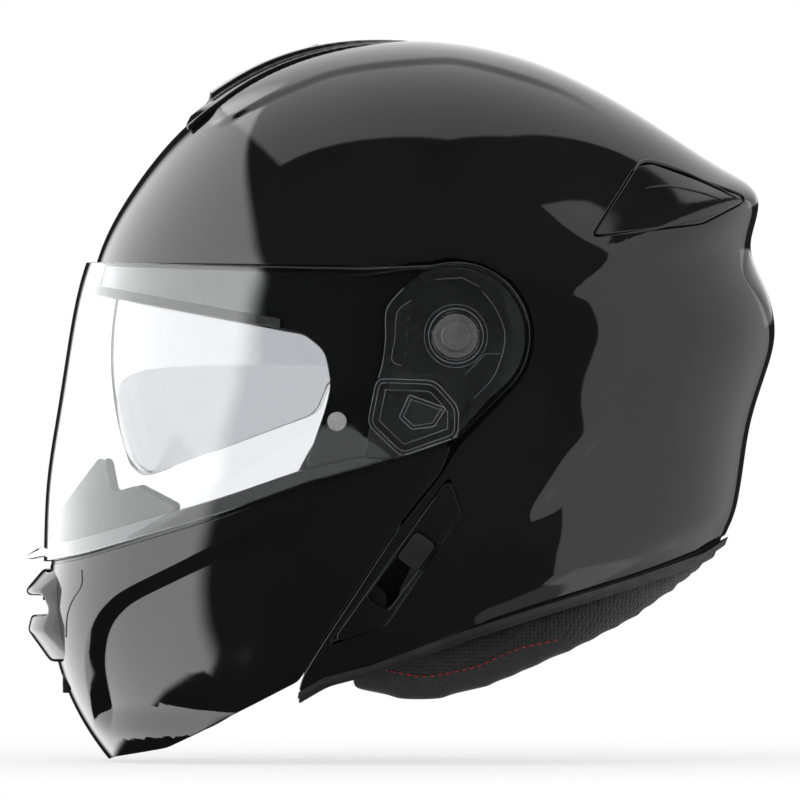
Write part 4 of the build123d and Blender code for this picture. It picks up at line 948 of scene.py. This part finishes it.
# The raised frame and the ridge of each rear outlet
VENT_RIDGES = (
    (((0.6, 0.555), (0.625, 0.586), (0.665, 0.59), (0.758, 0.562), (0.87, 0.512), (0.962, 0.468)), 0.9),
    (((0.97, 0.455), (0.9, 0.425), (0.785, 0.389), (0.64, 0.355), (0.48, 0.334)), 0.5),
    (((0.636, 0.5), (0.72, 0.508), (0.82, 0.49), (0.905, 0.463)), 0.5),
)
SIDES = ((-1, "left"), (1, "right"))
for side, label in SIDES:
    ridges = []
    for line, radius in VENT_RIDGES:
        places = laid(smooth_line(line), plain_shell, side, 0.1 * MM)
        taper = np.sin(np.linspace(0.05, pi - 0.05, len(places))) ** 0.5
        ridges.append(tube(places, radius * MM * taper, 10))
    gathered(f"rear_outlet_frame_{label}", ridges, "shell", *GLOSS_LOOK)

# Dark seam between the chin vent's hood and the chin bar
HOOD_SEAM = smooth_line((
    (-1.266, -0.79), (-1.268, -0.843), (-1.3, -0.895), (-1.318, -0.949), (-1.322, -1.02),
))
gathered("hood_seams", [
    tube(laid(HOOD_SEAM, chin_surface, side, -0.2 * MM), np.full(len(HOOD_SEAM), 0.55 * MM))
    for side, _ in SIDES
], "chin_bar", button_black, "shell_gloss")


def placed(across, up, side):
    """Places from shares in the side view and metres to the side."""
    return np.stack((PIVOT[0] + across * REACH, side + 0 * across, PIVOT[2] + up * REACH), axis=-1)


def looped(outline):
    return np.concatenate((outline, outline[:1]))


# Fine ribs moulded on the visor's base plates, coloured light grey as a painted highlight of their edges,
# with their radii in
# millimetres: the nested outlines of the lobe, the window, the rings round the boss and the notched rear edge
LOBE = rounded((
    (-0.266, -0.143), (-0.297, -0.297), (-0.184, -0.406), (0.007, -0.338), (0.01, -0.24), (-0.07, -0.15),
), 0.03)
WINDOW = rounded((
    (-0.157, -0.198), (-0.191, -0.273), (-0.147, -0.314), (-0.072, -0.304), (-0.034, -0.242),
), 0.008)
PLATE_RIBS = (
    (looped(LOBE), 0.16), (looped(grown(LOBE, -1.6 * MM)), 0.12), (looped(grown(LOBE, -4.6 * MM)), 0.12),
    (looped(WINDOW), 0.2), (looped(grown(WINDOW, -1.5 * MM)), 0.12),
    (looped(ring(11.6 * MM)), 0.18), (looped(ring(13.4 * MM)), 0.1),
    (smooth_line(PLATE_SHARES[2:7]), 0.16),
    (smooth_line(((-0.15, 0.12), (-0.196, 0.08), (-0.205, -0.01), (-0.215, -0.08), (-0.184, -0.1))), 0.12),
    (smooth_line(((0.09, 0.15), (0.14, 0.08), (0.165, -0.01), (0.13, -0.13), (0.06, -0.21))), 0.12),
    (np.array(((0.03, -0.13), (0.1, -0.06), (0.15, -0.06))), 0.1),
    (np.array(((-0.07, 0.19), (0.02, 0.196), (0.08, 0.165))), 0.12),
)
for side, label in SIDES:
    ribs = [
        tube(placed(*line.T, side * RIB_SIDE), np.full(len(line), radius * MM), 6)
        for line, radius in PLATE_RIBS
    ]
    gathered(f"plate_highlight_ribs_{label}", ribs, "chin_bar", rib_highlight_grey, "dark_plastic")

# Thumb tab under the visor's front edge: its profile, drawn in towards both ends
TAB_ACROSS = np.array((-1.378, -1.415, -1.452, -1.462, -1.45, -1.41, -1.376))
TAB_UP = np.array((-0.712, -0.716, -0.738, -0.752, -0.76, -0.752, -0.744))
TAB_HALF = 13.0 * MM
TAB_SWEEP = 2.2 * MM
tab_rows = []
for out in np.linspace(-1, 1, 15):
    draw = 1 - 0.75 * abs(out) ** 3
    across = TAB_ACROSS[0] + (TAB_ACROSS - TAB_ACROSS[0]) * draw
    up = TAB_UP[0] + (TAB_UP - TAB_UP[0]) * (0.55 + 0.45 * draw)
    tab_rows.append(placed(across, up, out * TAB_HALF) + np.array((TAB_SWEEP * out ** 2, 0, 0)))
visor_tab = build("visor_tab", np.concatenate(tab_rows), bar_faces(len(tab_rows), len(TAB_UP)))
modify(visor_tab, "SUBSURF", levels=2, render_levels=2)
visor_tab.data.shade_smooth()
place_piece(visor_tab, "visor", clear_lens, "clear_lens")

for _, label in SIDES:
    strap = linked(f"strap_web_{label}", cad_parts[f"chin_strap_{label}"].data.copy())
    place_piece(strap, "shell", webbing, "webbing", f"chin_strap_{label}")

# Studio: a white floor and backdrop, lamps, and the dark surroundings and cards that the lacquer reflects
FLOOR_HALF = 6
floor_corners = FLOOR_HALF * np.array(((-1, -1, 0), (1, -1, 0), (1, 1, 0), (-1, 1, 0)))
floor = build("floor", floor_corners, [(0, 1, 2, 3)])
floor.location.z = cad_box[0][2] - MM
floor.visible_glossy = False
paint = Finish("floor_paint", 0.9, 0.8).tint((2.0,), 0.89, 0.91)
floor.data.materials.append(paint.material)


def seen_white(tree, surface, white_kind, output, weight):
    """Whatever the camera, gloss or glass sees turns white by the given weight."""
    rays = add_node(tree, "LightPath").outputs
    seen = maths(tree, "MAXIMUM", rays["Is Camera Ray"], rays["Is Glossy Ray"])
    seen = maths(tree, "MAXIMUM", seen, rays["Is Transmission Ray"])
    share = maths(tree, "MULTIPLY", seen, weight)
    white = add_node(tree, white_kind, (1, 1, 1, 1), 1).outputs[0]
    mixed = add_node(tree, "MixShader", share, surface, white).outputs[0]
    tree.links.new(mixed, output.inputs["Surface"])


# The floor keeps its shading near the object, where the shadow is, and is plain white further off
from_middle = paint.node("VectorMath", paint.place, operation="LENGTH").outputs["Value"]
seen_white(paint.tree, paint.shader.outputs[0], "Emission",
           paint.tree.nodes["Material Output"], paint.ramp(from_middle, 0.72, 1.0, 0.15, 0.55))

WORLD_FILL = 0.5
scene.world = bpy.data.worlds.new("studio")
scene.world.use_nodes = True
sky = scene.world.node_tree
sky.nodes.clear()
fill = add_node(sky, "Background", Strength=WORLD_FILL).outputs[0]
seen_white(sky, fill, "Background", add_node(sky, "OutputWorld"), 1.0)

# Dark surroundings with pale cards, seen only in reflections. Each card lies in a plane one metre from the
# object, square to an axis: its side, its straight edges as (along, up, offset, softness), its brightness and
# the (along, up) fall of that
TENT_RADIUS = 4.0
TENT_DARK = 0.02
CARDS = (
    ("X", -1, ((1, 0, 0.86, 0.24), (0.617, -1, 1.12, 0.12), (0, 1, 0.8, 0.05), (-1, 0, 3.0, 1.2)),
     3.5, (-0.5, -0.6)),
    ("Z", 1, ((0, 1, 0.12, 0.03), (-0.8, 1, 0.2, 0.03), (-1.58, 1, 0.45, 0.04), (1, 0, 0.72, 0.05),
              (0, -1, 14.0, 4.0)), 1.05, (-0.5, 0.1)),
    ("X", 1, ((1, 0, 0.9, 0.03), (-0.6, -1, 1.4, 0.05), (0, 1, 0.9, 0.1), (-1, 0, 14.0, 4.0)),
     0.95, (-0.3, 0.0)),
    ("Z", -1, ((1, 0, -0.12, 0.08), (0, 1, 0.95, 0.1), (0, -1, 1.6, 0.4), (-1, 0, 2.0, 0.3)),
     0.5, (0.0, 0.0)),
)
tent_paint = bpy.data.materials.new("tent")
tent_paint.use_nodes = True
tree = tent_paint.node_tree
tree.nodes.clear()
tent_place = add_node(tree, "SeparateXYZ", add_node(tree, "TexCoord").outputs["Object"]).outputs
light = TENT_DARK
for axis, sign, edges, bright, fall in CARDS:
    ahead = maths(tree, "MULTIPLY", tent_place[axis], sign)
    far = maths(tree, "MAXIMUM", ahead, 0.001)
    along = maths(tree, "DIVIDE", tent_place["Y" if axis == "X" else "X"], far)
    up = maths(tree, "DIVIDE", tent_place["Z" if axis == "X" else "Y"], far)
    shade = maths(tree, "GREATER_THAN", ahead, 0.0)
    for along_share, up_share, offset, soft in edges:
        height = maths(tree, "MULTIPLY_ADD", up, up_share, offset)
        height = maths(tree, "MULTIPLY_ADD", along, along_share, height)
        step = add_node(tree, "MapRange", height, 0.0, soft, 0.0, 1.0, interpolation_type="SMOOTHSTEP")
        shade = maths(tree, "MULTIPLY", shade, step.outputs[0])
    level = maths(tree, "MULTIPLY_ADD", along, fall[0], maths(tree, "MULTIPLY_ADD", up, fall[1], bright))
    level = maths(tree, "MAXIMUM", maths(tree, "MINIMUM", level, bright * 1.15), bright * 0.3)
    light = maths(tree, "ADD", light, maths(tree, "MULTIPLY", shade, level))
glow = add_node(tree, "Emission", (1, 1, 1, 1), light).outputs[0]
clear = add_node(tree, "BsdfTransparent").outputs[0]
glossy = maths(tree, "GREATER_THAN", add_node(tree, "LightPath").outputs["Glossy Depth"], 0.5)
add_node(tree, "OutputMaterial",
         Surface=add_node(tree, "MixShader", glossy, clear, glow).outputs[0])

TENT_ROWS, TENT_COLUMNS = 16, 32
tent_points = [
    (cos(rise) * cos(turn), cos(rise) * sin(turn), sin(rise))
    for rise in np.linspace(-pi / 2, pi / 2, TENT_ROWS + 1)
    for turn in np.linspace(0, 2 * pi, TENT_COLUMNS, endpoint=False)
]
tent_faces = bar_faces(TENT_ROWS + 1, TENT_COLUMNS)[:-2]
tent = build("tent", np.array(tent_points) * TENT_RADIUS, tent_faces)
tent.data.materials.append(tent_paint)
for rays_name in ("camera", "diffuse", "volume_scatter", "shadow"):
    setattr(tent, f"visible_{rays_name}", False)

# Lamps: name, place, size and power
LAMP_TARGET = Vector((0, 0, 0.15))
for name, place, size, power in (
    ("key_lamp", (-0.6, -1.6, 1.9), 1.4, 26), ("fill_lamp", (1.4, -1.0, 1.0), 1.2, 9),
    ("back_lamp", (0.2, 1.5, 1.6), 1.2, 9),
):
    lamp = linked(name, bpy.data.lights.new(name, "AREA"))
    lamp.data.size = size
    lamp.data.energy = power
    lamp.location = place
    lamp.rotation_euler = (LAMP_TARGET - Vector(place)).to_track_quat("-Z", "Y").to_euler()
    lamp.visible_glossy = False

# The camera looks square at the left side, from far off
CAMERA_DISTANCE = 8.0
CAMERA_ACROSS = 0.00135
CAMERA_HEIGHT = 0.1537
VIEW_WIDTH = 0.344
camera = linked("camera", bpy.data.cameras.new("camera"))
camera.data.sensor_width = 36
camera.data.lens = camera.data.sensor_width * CAMERA_DISTANCE / VIEW_WIDTH
camera.data.clip_end = 60
camera.location = (CAMERA_ACROSS, -CAMERA_DISTANCE, CAMERA_HEIGHT)
camera.rotation_euler = (pi / 2, 0, 0)
scene.camera = camera
scene.view_settings.view_transform = "Standard"
